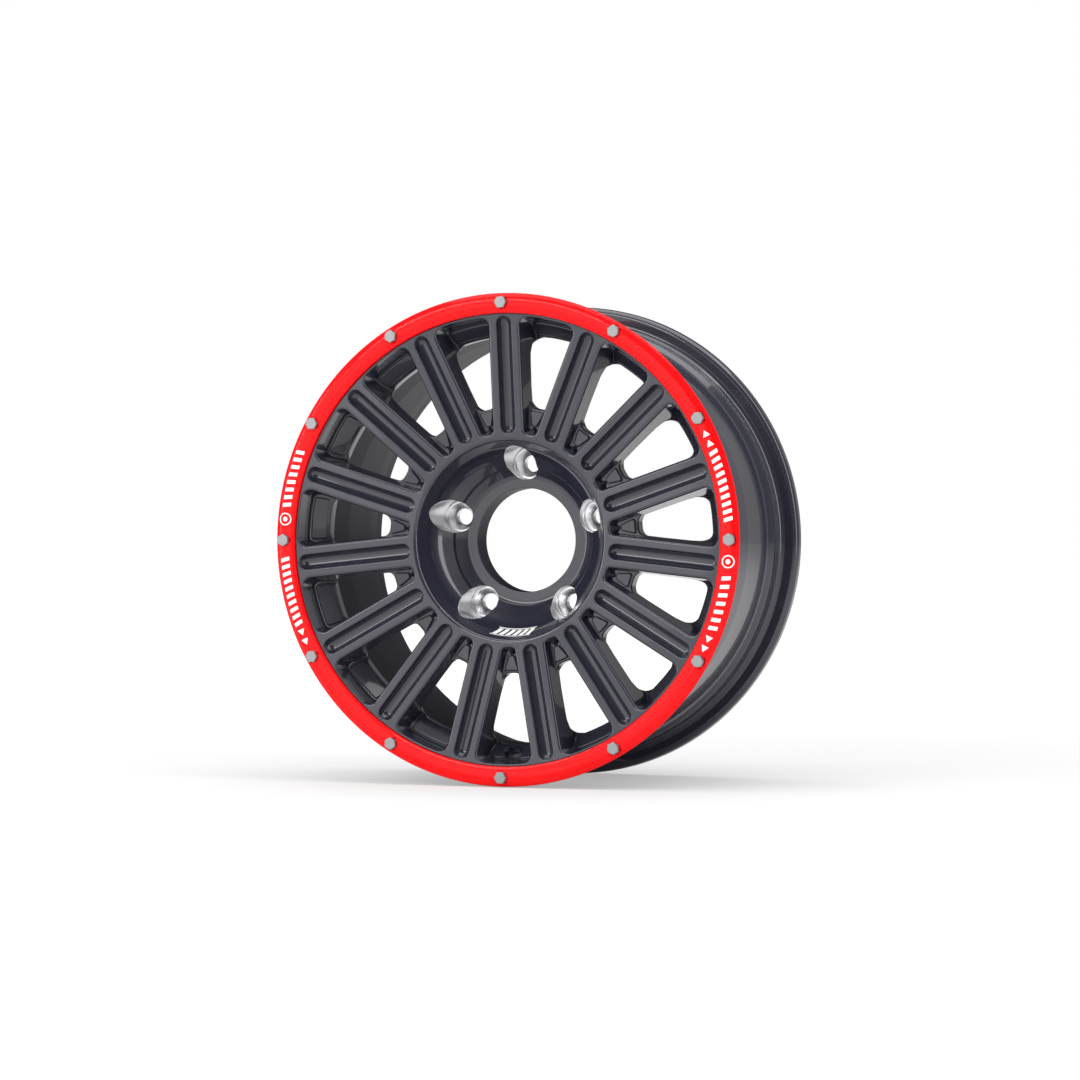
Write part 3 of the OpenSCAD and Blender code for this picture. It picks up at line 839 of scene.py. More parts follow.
# Radii, and heights above the mounting face, round each wheel stud
POCKET_R, POCKET_FLOOR_H = 15.0, 15.0
NUT_SEAT_R, NUT_SEAT_END_H, STUD_HOLE_R = 12.5, 6.77, 7.75
MOUNTING_R, BORE_BEVEL = 85.5, 1.5  # radius of the flat mounting face, and the bevel of the bore's edge there
BAND_H, BAND_W = 23.7, 2.0  # height of the band round the bore, and the width of it that belongs to the bore
BOWL_FOOT = (20.0, 34.5)  # where the bowl's wall begins: millimetres out from the bore, and height
STRIP_H = 6.0  # height of the strip between the windows' back edges and the plain part of the barrel's inside


def build_windows(c, shell, w, groove_grid):
    """Windows and grooves: one half of each, mirrored and repeated. Beside the valve a strip is left out."""
    whole, holed = Shell(), Shell()
    for half in (whole, holed):
        half.grid(*groove_grid)
    whole.grid(w["points"], w["normals"])
    triangles = grid_triangles(*w["points"].shape[:2])
    columns = len(w["edge"])
    strip_start = columns - 1 - VALVE_COLUMNS
    left_out = (
        (triangles.min(1) >= NECK_ROW * columns + strip_start)
        & (triangles.max(1) <= (NECK_ROW + 2) * columns - 1)
        & ((triangles % columns).min(1) >= strip_start)
    )
    holed.add(w["points"], w["normals"], triangles[~left_out])
    for k in range(c.f["spoke_count"]):
        angle = 90 + k * 2 * c.half
        for flip in (1, -1):
            beside_valve = abs(angle + flip * c.half - BOTTOM) < 0.01
            shell.put(holed if beside_valve else whole, angle, flip)
    valve_inside(c, shell, w)


def build_face(c, sector, w, lip):
    """The face of one spoke, filled on the flat between bowl, windows, ring and groove, and then lifted."""
    angles, edge, mirror = stations(-c.half, c.half), w["edge"], np.array([1, -1])
    outline = np.concatenate([
        on_flat(c.web_r, angles), edge, on_flat(c.edge_r, angles[::-1]), (edge * mirror)[::-1]
    ])
    flat, triangles = fill(outline, [np.concatenate([lip, (lip * mirror)[::-1][1:-1]])])
    normals = unit(-c.rise * unit(lifted(flat, 0.0)) + [0, 0, 1])
    sector.add(lifted(flat, c.height(np.hypot(*flat.T))), normals, triangles)


def build_backs(c, sector, w):
    """Back of one spoke and its shelf, filled over distance along the back profile and angle.

    Filling happens in a fan, at the distance from the back profile's start plus its radius, so that the
    angles keep their place. The barrel's inside begins with a strip from the windows' back edges to a
    plain ring.
    """
    half_angles = stations(-c.half, c.half)
    profile, profile_n, run = w["profile"]
    k = w["on_wall"]
    b_run, b_angle = w["end_run"][:k + 1], w["end_angle"][:k + 1]
    top_angles = stations(b_angle[-1], -b_angle[-1], 2.5)[1:-1]
    outline_run = np.concatenate([
        np.zeros(len(half_angles)), b_run, np.full(len(top_angles), run[-1]), b_run[::-1]
    ])
    outline_angle = np.concatenate([half_angles, b_angle, top_angles, -b_angle[::-1]])
    extra_run = np.concatenate([[2.5, 5.0], np.linspace(8, run[-1] - 1, 22)])
    extra_run, extra_angle = (v.ravel() for v in np.meshgrid(extra_run, [-3.0, 0.0, 3.0], indexing="ij"))
    outline = on_flat(c.back_r + outline_run, outline_angle)
    extra = on_flat(c.back_r + extra_run, extra_angle)
    keep = inside(extra, outline)
    _, triangles = fill(outline, extra=extra[keep])
    s = np.concatenate([outline_run, extra_run[keep]])
    a = np.concatenate([outline_angle, extra_angle[keep]])
    place, facing = (read_off(s, run, rows) for rows in (profile, profile_n))
    sector.add(polar(place[:, 0], a, place[:, 1]), unit(polar(facing[:, 0], a, facing[:, 1])), triangles)

    # the strip of the barrel's inside is filled on a flat of angle against side: 3 above and 0 below
    wall_angles = np.concatenate([w["end_angle"][k:][::-1], top_angles, -w["end_angle"][k:]])
    upper = np.stack([wall_angles, np.full(len(wall_angles), 3.0)], -1)
    flat, triangles = fill(np.concatenate([upper, lifted(half_angles[:, None], 0.0)]))
    height = np.where(flat[:, 1] > 1, c.top_h, c.top_h - STRIP_H)
    points = polar(c.inner_wall_r, flat[:, 0], height)
    sector.add(points, -polar(1.0, flat[:, 0], 0.0), triangles, SATIN_PAINT)


def build_barrel(c, shell):
    """The barrel: one profile from the face's outer edge round the outside and back along the inside."""
    r = c.r
    seat, front, rear, flange = r["seat_r"], r["front_h"], -r["rear_h"], r["flange_r"]
    back = rear - 12
    pilot = r["ring_in_r"] - 0.4
    points, normals = section([
        # shoulder inside the ring, and the front flange that the ring sits on
        [c.edge_r, c.height(c.edge_r), 0],
        [pilot, c.height(pilot), 0.5],
        [pilot, r["ring_seat_h"], 0],
        [seat + 13.3, r["ring_seat_h"], 1],
        [seat + 13.3, front, 1],
        # front bead seat, the well and the rear bead seat
        [seat, front, 6.5],
        [seat - 1.3, front - 14.9, 3],
        [seat + 0.4, front - 17.9, 3],
        [r["well_r"], 42.6, 8],
        [r["well_r"], -3, 15],
        [seat - 9, -30, 4],
        [seat - 4.3, rear + 24.3, 3],
        [seat + 0.4, rear + 17.9, 2.5],
        [seat - 1.3, rear + 14.9, 3],
        # rear flange
        [seat, rear, 6.5],
        [flange, rear, 9],
        [flange, back, 1.5],
        [seat - 1, back, 1],
        # inside, up to the strip behind the windows
        [seat - 3, back + 2, 1],
        [seat - 5.2, rear + 8, 20],
        [seat - 8.4, rear + 24.3, 6],
        [seat - 10.8, rear + 39.3, 6],
        [c.inner_wall_r + 1.9, -16, 40],
        [c.inner_wall_r + 0.1, 3, 40],
        [c.inner_wall_r, c.top_h - STRIP_H, 0],
    ])
    radii, heights = points.T
    neck_low_h = 40
    cut = int(np.flatnonzero(
        (radii[:-1] > c.valve_out[0]) & (radii[1:] < c.valve_out[0]) & (heights[:-1] > neck_low_h)
    )[0])
    lip = int(np.flatnonzero(radii > seat - 2)[-1])
    full = stations(0, 360)
    for rows, angles, finish in (
        (slice(0, cut + 1), full, PAINT), (slice(cut + 1, lip + 1), full, PAINT),
        (slice(lip, None), full, SATIN_PAINT),
        (slice(cut, cut + 2), stations(BOTTOM + VALVE_GAP, BOTTOM + 360 - VALVE_GAP), PAINT),
    ):
        shell.revolve((points[rows], normals[rows]), angles, finish)
    valve_outside(c, shell, points[cut:cut + 2], normals[cut])


def bowl_wall(c):
    """Corners of the bowl's wall as [radius, height, rounding], from near its foot to the flat face."""
    bowl_r = c.f["bowl_r"]
    return [
        [bowl_r - 8.6, c.height(bowl_r) - 22.3, 55], [bowl_r, c.height(bowl_r), 5],
        [c.web_r, c.height(c.web_r), 0]
    ]


def build_hub_front(c, shell):
    """The bowl from the band round the bore to the flat face, and the stud pockets that are cut into it.

    One fifth is filled over distance along the bowl's profile and angle, round the outline of its pocket.
    Where a ring of the profile crosses the pocket's circle, the cosine of the angle is found from the three
    radii: the square of the ring's plus that of the stud circle's less that of the pocket's, over twice the
    product of the first two. Returns the directions from a stud's axis to the points of that outline.
    """
    bore, stud_r = c.f["bore_r"], c.f["stud_circle_r"]
    profile, profile_n = section([
        [bore + BAND_W, BAND_H, 0],
        [bore + 10.7, BAND_H, 8],
        [bore + 18.7, 31.2, 0.9],
        [bore + BOWL_FOOT[0], BOWL_FOOT[1], 0.7],
        *bowl_wall(c),
    ], 9)
    ring_r = profile[:, 0]
    step = np.maximum(np.linalg.norm(np.diff(profile, axis=0), axis=1), 0.35)
    run = np.concatenate([[0], np.cumsum(step)])
    crossing = np.abs(ring_r - stud_r) < POCKET_R - 0.15
    bend = np.zeros(len(ring_r))
    cosine = (ring_r ** 2 + stud_r ** 2 - POCKET_R ** 2) / (2 * ring_r * stud_r)
    bend[crossing] = np.degrees(np.arccos(cosine[crossing]))

    # pocket outline: where it crosses each ring of the profile, and a few points at its near and far ends
    ends = np.radians(np.array([0, 5, -5, 10, -10, 170, -170, 175, -175, 180.0]))
    ends_xy = np.stack([stud_r + POCKET_R * np.cos(ends), POCKET_R * np.sin(ends)], -1)
    cross_xy = on_flat(ring_r[crossing], bend[crossing])
    pocket_xy = np.concatenate([cross_xy, cross_xy * [1, -1], ends_xy])
    phi = bearing(pocket_xy - [stud_r, 0]) % 360
    is_cross = np.arange(len(phi)) < 2 * len(cross_xy)
    apart = np.abs((phi[is_cross][None] - phi[:, None] + 180) % 360 - 180).min(1)
    kept = is_cross | (apart >= 1.2)
    pocket_xy = pocket_xy[kept][np.argsort(phi[kept])]
    pocket_r = np.hypot(*pocket_xy.T)
    nearest = np.abs(pocket_r[:, None] - ring_r[None]).argmin(1)
    on_ring = np.abs(pocket_r - ring_r[nearest]) < 1e-6
    pocket_run = np.where(on_ring, run[nearest], np.interp(pocket_r, ring_r, run))

    spin = 1.2  # millimetres of filled region per degree
    half = 180 / c.f["stud_count"]
    angles = stations(-half, half)

    def at_run(distance, a):
        return np.stack(np.broadcast_arrays(distance, np.asarray(a) * spin), -1)

    outline = np.concatenate([
        at_run(run[0], angles), at_run(run[1:-1], half), at_run(run[-1], angles[::-1]),
        at_run(run[1:-1][::-1], -half)
    ])
    lines = []
    for i in range(1, len(run) - 1):
        if not crossing[i]:
            lines.append(at_run(run[i], angles))
            continue
        clear = angles[np.abs(angles) > bend[i] + 0.5]
        for sign in (-1, 1):
            beside = np.sort(clear[clear * sign >= 0] * sign) * sign
            lines.append(at_run(run[i], np.concatenate([[bend[i] * sign], beside])))
    flat, triangles = fill(outline, [at_run(pocket_run, bearing(pocket_xy))], lines=lines)
    s, a = flat[:, 0], flat[:, 1] / spin
    place, facing = (read_off(s, run, rows) for rows in (profile, profile_n))
    sector = Shell()
    sector.add(polar(place[:, 0], a, place[:, 1]), unit(polar(facing[:, 0], a, facing[:, 1])), triangles)
    build_pocket(c, sector, pocket_xy, np.interp(pocket_run, run, profile[:, 1]))
    shell.around(sector, c.f["stud_count"], 90)
    return unit(pocket_xy - [stud_r, 0])


def build_pocket(c, sector, outline, top_h):
    """Stud pocket, nut seat and hole: a profile carried round the stud. Its upper end follows the bowl."""
    stud = np.array([c.f["stud_circle_r"], 0])
    loop_xy, loop_h = ring_of(outline), ring_of(top_h)
    away = unit(loop_xy - stud)
    bevel = 0.8
    # None stands for the height of the bowl's surface
    corners = [
        (POCKET_R, None), (POCKET_R, POCKET_FLOOR_H + bevel), (POCKET_R - bevel, POCKET_FLOOR_H),
        (NUT_SEAT_R, POCKET_FLOOR_H), (STUD_HOLE_R, NUT_SEAT_END_H), (STUD_HOLE_R, 0.0)
    ]
    path = 0.0
    for (r0, h0), (r1, h1) in zip(corners[:-1], corners[1:]):
        upright = h0 is None
        steps = np.linspace(0, 1, 6 if upright else 3)[:, None]
        radius = r0 + (r1 - r0) * steps
        start_h = loop_h[None] if upright else h0
        height = start_h + (h1 - start_h) * steps + np.zeros_like(loop_h)[None]
        lean = np.array([-1.0, 0.0]) if upright else unit(np.array([h1 - h0, r0 - r1]))
        run_down = path + np.hypot(radius - r0, height - start_h)
        lathe = np.stack(np.broadcast_arrays(run_down, np.linspace(0, 1, len(loop_h))[None]), -1)
        path = run_down.max()
        xy = stud + radius[..., None] * away[None]
        points = np.concatenate([xy, height[..., None]], -1)
        sector.grid(points, lifted(away * lean[0], lean[1])[None], BARE_METAL, lathe)


def build_casting(c):
    """The whole casting as one closed shell, in gloss paint, bare machined metal and satin paint."""
    shell, sector = Shell(), Shell()
    full = stations(0, 360)
    w, groove_grid = window_surface(c), groove(c)
    build_windows(c, shell, w, groove_grid)
    build_pads(c, shell)
    build_face(c, sector, w, groove_grid[0][0, :, :2])
    build_backs(c, sector, w)
    shell.around(sector, c.f["spoke_count"], 90)
    build_barrel(c, shell)

    # back of the hub, and the bore's wall, which is satin up to its rounded edge
    shell.revolve(section([
        [c.back_r, c.shelf_back_h, 0],
        [106, c.shelf_back_h, 8],
        [89, 18, 8],
        [MOUNTING_R + 1.5, 1.5, 0],
        [MOUNTING_R, 0, 0],
    ]), full)
    bore = c.f["bore_r"]
    wall, wall_n = section([
        [bore + BORE_BEVEL, 0, 0], [bore, BORE_BEVEL, 0], [bore, BAND_H, 1], [bore + BAND_W, BAND_H, 0]
    ])
    wall_end = int(np.flatnonzero(np.abs(wall[:, 0] - bore) < 0.01)[-1])
    for rows, finish in ((slice(0, wall_end + 1), SATIN_PAINT), (slice(wall_end, None), PAINT)):
        shell.revolve((wall[rows], wall_n[rows]), full, finish)
    away = build_hub_front(c, shell)

    # flat mounting face with the bore and the stud holes
    holes = [on_flat(bore + BORE_BEVEL, full[:-1])]
    stud_hole = np.array([c.f["stud_circle_r"], 0]) + STUD_HOLE_R * away
    for angle in 90 + np.arange(c.f["stud_count"]) * 360 / c.f["stud_count"]:
        holes.append(stud_hole @ turning(angle)[:2, :2])
    flat, triangles = fill(on_flat(MOUNTING_R, full[:-1]), holes)
    shell.add(lifted(flat, 0.0), np.tile([0.0, 0.0, -1.0], (len(flat), 1)), triangles)
    return shell


# Outer ring, bolts and printed marks


class Ring:
    """The outer ring's crown and the places of its bolts, worked out once from the sizes."""

    def __init__(self):
        r = rim()
        self.in_r, self.seat_h = r["ring_in_r"], r["ring_seat_h"]
        self.out_r = self.in_r + r["ring_w"]
        self.crest_r = self.in_r + 9.5
        self.inner_h, self.crest_h, self.outer_h = self.seat_h + 4.2, self.seat_h + 6.2, self.seat_h + 2.6
        self.head_h = self.crest_h - 0.7  # flat under the bolt heads
        self.hole_r = 3.3
        self.edge_in, self.edge_out = 0.8, 0.6  # radii of the crown's rounded edges
        self.under_r = 216.7  # outer radius of the flat underside
        self.count = r["bolt_count"]
        self.af = r["bolt_af"]

    def crown(self, r):
        """Height of the ring's top: two half parabolas that meet level at the crest, and its slope."""
        t = (r - self.in_r) / (self.crest_r - self.in_r)
        u = (r - self.crest_r) / (self.out_r - self.crest_r)
        rise, drop = self.crest_h - self.inner_h, self.crest_h - self.outer_h
        height = np.where(t < 1, self.inner_h + rise * (1 - (1 - t) ** 2), self.crest_h - drop * u * u)
        slope = np.where(
            t < 1, 2 * rise * (1 - t) / (self.crest_r - self.in_r),
            -2 * drop * u / (self.out_r - self.crest_r)
        )
        return height, slope

    def crown_normal(self, r):
        """Normals of the ring's top as [outward, up]."""
        slope = self.crown(r)[1]
        return unit(np.stack([-slope, np.ones_like(slope)], -1))

    def profile(self):
        """The ring's section from the foot of its bore over the crown to the edge of its flat underside.

        The crown's edges are rounded by quarter circles whose normals turn from the side's to the crown's.
        """
        a = np.radians(np.linspace(0, 90, 7))
        x_in = self.in_r + self.edge_in * (1 - np.cos(a))
        x_out = self.out_r - self.edge_out * (1 - np.cos(a))
        h_in = self.crown(x_in)[0] - self.edge_in * (1 - np.sin(a))
        h_out = self.crown(x_out)[0] - self.edge_out * (1 - np.sin(a))

        def turn(x, side):
            across = np.stack([side * np.cos(a), np.zeros(len(a))], -1)
            return unit(across + np.sin(a)[:, None] * self.crown_normal(x))

        middle = np.linspace(x_in[-1], x_out[-1], 20)[1:-1]
        crown = np.stack([middle, self.crown(middle)[0]], -1)
        low, low_n = section([
            [self.out_r, h_out[0], 0], [self.out_r - 0.4, self.seat_h + 1.4, 0.3],
            [self.under_r, self.seat_h, 0]
        ], 3)
        points = np.concatenate([
            [[self.in_r, self.seat_h]], np.stack([x_in, h_in], -1), crown,
            np.stack([x_out, h_out], -1)[::-1], low
        ])
        normals = np.concatenate([
            [[-1.0, 0.0]], turn(x_in, -1), self.crown_normal(middle), turn(x_out, 1)[::-1], low_n
        ])
        return points, normals

    def bolt_angles(self):
        """Angles of the bolts in degrees, in the order of their numbers: clockwise from the top."""
        return 90 - np.arange(self.count) * 360 / self.count


# Under each bolt head the crown has a level disc: its radius, and how near to the bolt's axis the crown's
# own points come
DISC_R, CROWN_CLEAR_R = 6.47, 6.9
BOLT_REACH = 4.0  # degrees on each side of a bolt that are filled on the flat


def disc_edge(g, phi):
    """Edge of the level disc: a circle round the bolt, cut short where the crown is lower than the disc."""
    rho = np.linspace(0.5, DISC_R, 240)
    x = g.crest_r + rho[None] * np.cos(phi)[:, None]
    y = rho[None] * np.sin(phi)[:, None]
    above = g.crown(np.hypot(x, y))[0] > g.head_h
    edge_rho = rho[np.where(above.all(1), len(rho) - 1, above.argmin(1))]
    return np.stack([g.crest_r + edge_rho * np.cos(phi), edge_rho * np.sin(phi)], -1)


def build_crown_patch(g, sector, crown_r, edge):
    """The crown near a bolt, filled on the flat round the disc's edge. crown_r is its profile's radii."""
    patch_angles = stations(-BOLT_REACH, BOLT_REACH, 1.0)
    outline = np.concatenate([
        on_flat(crown_r, -BOLT_REACH), on_flat(crown_r[-1], patch_angles[1:-1]),
        on_flat(crown_r[::-1], BOLT_REACH), on_flat(crown_r[0], patch_angles[::-1][1:-1])
    ])
    grid_r, grid_a = np.meshgrid(crown_r[1:-1], np.arange(-BOLT_REACH + 0.5, BOLT_REACH, 0.5), indexing="ij")
    extra = on_flat(grid_r.ravel(), grid_a.ravel())
    clear = np.hypot(extra[:, 0] - g.crest_r, extra[:, 1]) > CROWN_CLEAR_R
    flat, triangles = fill(outline, [edge], extra[clear])
    r = np.hypot(*flat.T)
    n = g.crown_normal(r)
    sector.add(lifted(flat, g.crown(r)[0]), polar(n[:, 0], bearing(flat), n[:, 1]), triangles)


def build_bolt_seat(g, sector, edge, phi, hole):
    """The small wall round the level disc, the disc, and the wall of the bolt's hole."""
    away = lifted(np.stack([np.cos(phi), np.sin(phi)], -1), 0.0)
    top, disc = lifted(edge, g.crown(np.hypot(*edge.T))[0]), lifted(edge, g.head_h)
    sector.grid(np.stack([ring_of(top), ring_of(disc)]), np.stack([ring_of(-away)] * 2))
    flat, triangles = fill(edge, [hole])
    sector.add(lifted(flat, g.head_h), np.tile([0.0, 0.0, 1.0], (len(flat), 1)), triangles)
    hole_wall = np.stack([ring_of(lifted(hole, g.head_h)), ring_of(lifted(hole, g.seat_h))])
    sector.grid(hole_wall, np.stack([ring_of(-lifted(circle(1.0), 0.0))] * 2))


def build_ring(g):
    """The outer ring as one closed shell: a profile carried round, with a flat and a hole for each bolt."""
    shell, sector = Shell(), Shell()
    half = 180 / g.count
    points, normals = g.profile()
    on_crown = (
        (points[:, 0] > g.in_r + g.edge_in - 0.01) & (points[:, 0] < g.out_r - g.edge_out + 0.01)
        & (points[:, 1] > g.seat_h + 2)
    )
    first, last = np.flatnonzero(on_crown)[[0, -1]]
    crown = slice(first, last + 1)
    bends = stations(-half, half, 1.0)
    for rows, angles in (
        (slice(0, first + 1), bends), (slice(last, None), bends),
        (crown, stations(-half, -BOLT_REACH, 1.0)), (crown, stations(BOLT_REACH, half, 1.0)),
    ):
        sector.revolve((points[rows], normals[rows]), angles)
    phi = np.radians(np.linspace(0, 360, 60, endpoint=False))
    edge = disc_edge(g, phi)
    hole = np.array([g.crest_r, 0]) + circle(g.hole_r)
    build_crown_patch(g, sector, points[crown, 0], edge)
    build_bolt_seat(g, sector, edge, phi, hole)

    # flat underside
    flat, triangles = fill(np.concatenate([on_flat(g.in_r, bends), on_flat(g.under_r, bends[::-1])]), [hole])
    sector.add(lifted(flat, g.seat_h), np.tile([0.0, 0.0, -1.0], (len(flat), 1)), triangles)
    shell.around(sector, g.count, 90)
    return shell


# A bolt's head: height, radius of its flat top, the cone's fall per millimetre outwards, and the share of the
# way from a flat's middle to a corner at which the rounding of the corner begins
HEAD_H, HEAD_TOP_R, HEAD_FALL, CORNER_START = 4.0, 4.75, 0.62, 0.86
# Its shank: radius, radius of its point, length, where the point begins, and depth of the thread, whose
# pitch is 1
SHANK_R, POINT_R, SHANK_L, POINT_START, THREAD_DEPTH = 3.0, 2.3, 12.0, 11.5, 0.45
# Places across one flat of the head, from corner to corner
ACROSS = np.array([-1, -0.94, -CORNER_START, -0.6, -0.3, 0, 0.3, 0.6, CORNER_START, 0.94, 1.0])


def build_head_side(g, shell, turn, flat_angle):
    """One sixth of a bolt's head. turn holds the angles of its points from the middle of the flat."""
    hex_r = g.af / 2 / np.cos(turn)
    edge_h = HEAD_H - HEAD_FALL * (hex_r - HEAD_TOP_R)
    spoke, flat_n = (polar(1.0, np.degrees(a), 0.0) for a in (turn + flat_angle, flat_angle))
    # towards a corner the normal turns to the mean of its two flats, as on a rounded edge
    near = np.clip((np.abs(ACROSS) - CORNER_START) / (1 - CORNER_START), 0, 1)[:, None]
    side_n = unit(flat_n * (1 - near) + spoke * near)
    cone_n = unit(spoke * HEAD_FALL + [0, 0, 1.0])
    up = np.tile([0.0, 0.0, 1.0], (len(turn), 1))
    rows = [
        (0.0, HEAD_H, up), (HEAD_TOP_R - 0.25, HEAD_H, up), (HEAD_TOP_R, HEAD_H - 0.08, cone_n),
        (hex_r - 0.12, edge_h + 0.03, cone_n), (hex_r, edge_h - 0.12, side_n), (hex_r, 0.25, side_n),
        (hex_r - 0.25, 0.0, -up), (SHANK_R, 0.0, -up)
    ]
    each = np.ones(len(turn))
    points = np.stack([spoke * (r * each)[:, None] + up * (h * each)[:, None] for r, h, _ in rows])
    normals = np.stack([n for _, _, n in rows])
    shell.grid(points[:7], normals[:7])
    shell.grid(points[6:], normals[6:])


def build_shank(shell, turn):
    """A threaded shank with a pointed end. Its angles are those of the head, so that the two meet."""
    a = np.concatenate([turn + math.radians(60 * k) for k in range(6)])
    a = np.append(a, a[0] + 2 * math.pi)
    a = a[np.append(True, np.diff(a) > 1e-6)]
    drop = np.append(np.linspace(0, 11.2, 46), SHANK_L)[:, None]
    wave = np.abs(((drop - a[None] / (2 * math.pi)) % 1.0) * 2 - 1)
    depth = THREAD_DEPTH * wave * blend(0.0, 1.0, (drop - 0.4) / 0.8) * blend(1.0, 0.0, (drop - 10.6) / 0.6)
    radius = np.where(drop > POINT_START, POINT_R, SHANK_R - depth)
    spoke = polar(1.0, np.degrees(a), 0.0)
    points = radius[..., None] * spoke[None] - drop[..., None] * np.array([0, 0, 1.0])
    slope = np.gradient(radius, axis=0) / 0.25
    shell.grid(points, unit(spoke[None] + slope[..., None] * np.array([0, 0, 1.0])))
    end = np.stack([points[-1], np.tile([0.0, 0.0, -SHANK_L], (len(a), 1))])
    shell.grid(end, np.tile([0.0, 0.0, -1.0], (2, len(a), 1)))


def build_bolt(g, angle):
    """One hexagon-headed bolt as a closed shell round its own axis, which is then put in its place.

    The head is a hexagonal prism cut by a cone, so its flats have curved tops: at each place the cone's
    height is found from the hexagon's radius, which is half the width across flats over the cosine of the
    turn from the flat's middle. The shank is a screw: its radius follows a triangle wave of height over
    pitch less turns round the axis.
    """
    shell, placed = Shell(), Shell()
    turn = np.arctan(ACROSS * math.tan(math.pi / 6))
    for k in range(6):
        build_head_side(g, shell, turn, math.radians(60 * k))
    build_shank(shell, turn)
    shift = np.array([g.crest_r, 0, g.head_h])
    shell.parts = [(points + shift, *rest) for points, *rest in shell.parts]
    placed.put(shell, angle)
    return placed


# Angles of the printed marks on the ring, in degrees from the right towards the top: start and end of each
# row of bars, place and direction of each triangle, and place of each circle
RING_BARS = ((4.6, 20.8), (-21.6, -9.4), (157.6, 171.0), (184.6, 200.8))
RING_TRIANGLES = ((23.5, 1), (26.0, 1), (-24.3, -1), (-26.8, -1), (203.5, 1), (206.0, 1))
RING_HOOPS = (-5.2, 174.8)
INK, INK_SINK, INK_EDGE = 0.08, 0.05, 0.05  # height of the ink, how far it goes in, and width of its edge
LINE_W, INK_CORNER = 1.1, 0.3  # width of a printed line, and radius of the marks' corners
MARK_LOW, MARK_HIGH = -4.6, 3.6  # the marks on the ring lie between these distances from the bolt circle


def print_patch(shell, place, outline, spacing=2.0):
    """One printed mark: a thin closed patch inside a closed outline."""
    raised_patch(shell, outline, place, INK, INK_EDGE, INK_SINK, spacing, 1)


def soft_corners(corners, spacing):
    """A closed outline through [x, y] corners, with the small rounding of printed marks."""
    return round_corners([[x, y, INK_CORNER] for x, y in corners], 2, spacing)


def print_on_ring(g, shell):
    """Rows of slanted bars, triangles and circles on the ring.

    The flat is millimetres along the bolt circle and outwards from it.
    """
    per_degree = math.radians(1) * g.crest_r
    middle = (MARK_LOW + MARK_HIGH) / 2

    def place(flat, lift):
        r = g.crest_r + flat[:, 1]
        angle = np.degrees(flat[:, 0] / g.crest_r)
        n = g.crown_normal(r)
        normals = polar(n[:, 0], angle, n[:, 1])
        return polar(r, angle, g.crown(r)[0]) + normals * lift[:, None], normals

    lean, pitch, half_w = 1.7, 5.8, 1.75
    for start, end in RING_BARS:
        for at in np.linspace(start, end, int(abs(end - start) * per_degree / pitch)) * per_degree:
            print_patch(shell, place, soft_corners([
                [at - half_w, MARK_LOW], [at + half_w, MARK_LOW], [at + half_w + lean, MARK_HIGH],
                [at - half_w + lean, MARK_HIGH]
            ], 2.0))
    for angle, direction in RING_TRIANGLES:
        at, half_l, half_h = angle * per_degree, 2.9 * direction, 3.5
        print_patch(shell, place, soft_corners([
            [at - half_l, middle - half_h], [at + half_l, middle], [at - half_l, middle + half_h]
        ], 2.0))
    # circles: a line in two halves that meet, and a disc in it
    for angle in RING_HOOPS:
        centre, hoop_r, disc_r = np.array([angle * per_degree, middle]), 5.8, 2.2
        for turn in (0, 180):
            arc = on_flat(1.0, np.linspace(turn + 1, turn + 179, 17))
            print_patch(shell, place, centre + np.concatenate([hoop_r * arc, (hoop_r - LINE_W) * arc[::-1]]))
        print_patch(shell, place, centre + circle(disc_r, 20))


def print_in_bowl(c, shell):
    """Two thin lines with slanted bars between them, at the bottom of the bowl.

    The flat is millimetres round the wheel and up the bowl's wall.
    """
    bore = c.f["bore_r"]
    wall, wall_n = section([[bore + BOWL_FOOT[0], BOWL_FOOT[1], 0], *bowl_wall(c)], 9)
    run = travel(wall)
    middle_r, turn_r = 83.6, 84.0  # radius of the marks' middle, and the one at which their widths are turned
    middle_run = float(np.interp(middle_r, wall[:, 0], run))

    def place(flat, lift):
        s = middle_run + flat[:, 1]
        r, h = read_off(s, run, wall).T
        n = unit(read_off(s, run, wall_n))
        angle = BOTTOM + np.degrees(flat[:, 0] / turn_r)
        normals = polar(n[:, 0], angle, n[:, 1])
        return polar(r, angle, h) + normals * lift[:, None], normals

    width, tall, slant, half_w = 18.8, 7.6, 3.4, 2.0
    for y, side in ((-tall, -1.0), (tall - LINE_W, 1.0)):
        x = np.linspace(-width, width, 28) - side * slant / 2
        low, high = (np.full(len(x), y + up) for up in (0.0, LINE_W))
        line = np.concatenate([np.stack([x, low], -1), np.stack([x[::-1], high], -1)])
        print_patch(shell, place, line)
    bar_h = tall - 2.1
    for at in np.linspace(-width + 3.2, width - 3.2, 6):
        print_patch(shell, place, soft_corners([
            [at - half_w + slant / 2, -bar_h], [at + half_w + slant / 2, -bar_h],
            [at + half_w - slant / 2, bar_h], [at - half_w - slant / 2, bar_h]
        ], 1.8), 1.8)


def build_marks(g, c):
    """Plain printed marks on the ring and in the bowl, each a thin closed patch."""
    shell = Shell()
    print_on_ring(g, shell)
    print_in_bowl(c, shell)
    return shell


# Materials


def add_node(tree, kind, settings=None, **inputs):
    """Adds a node. settings are its own properties. inputs are its sockets: a value, or an output to link.

    An input is named in words, or as i and its number.
    """
    node = tree.nodes.new(kind)
    for key, value in (settings or {}).items():
        setattr(node, key, value)
    for key, value in inputs.items():
        numbered = key[0] == "i" and key[1:].isdigit()
        socket = node.inputs[int(key[1:]) if numbered else key.replace("_", " ")]
        if isinstance(value, bpy.types.NodeSocket):
            tree.links.new(value, socket)
        else:
            socket.default_value = value
    return node


def new_material(name):
    """A material with an empty node tree, and that tree."""
    material = bpy.data.materials.new(name)
    material.use_nodes = True
    material.node_tree.nodes.clear()
    return material, material.node_tree


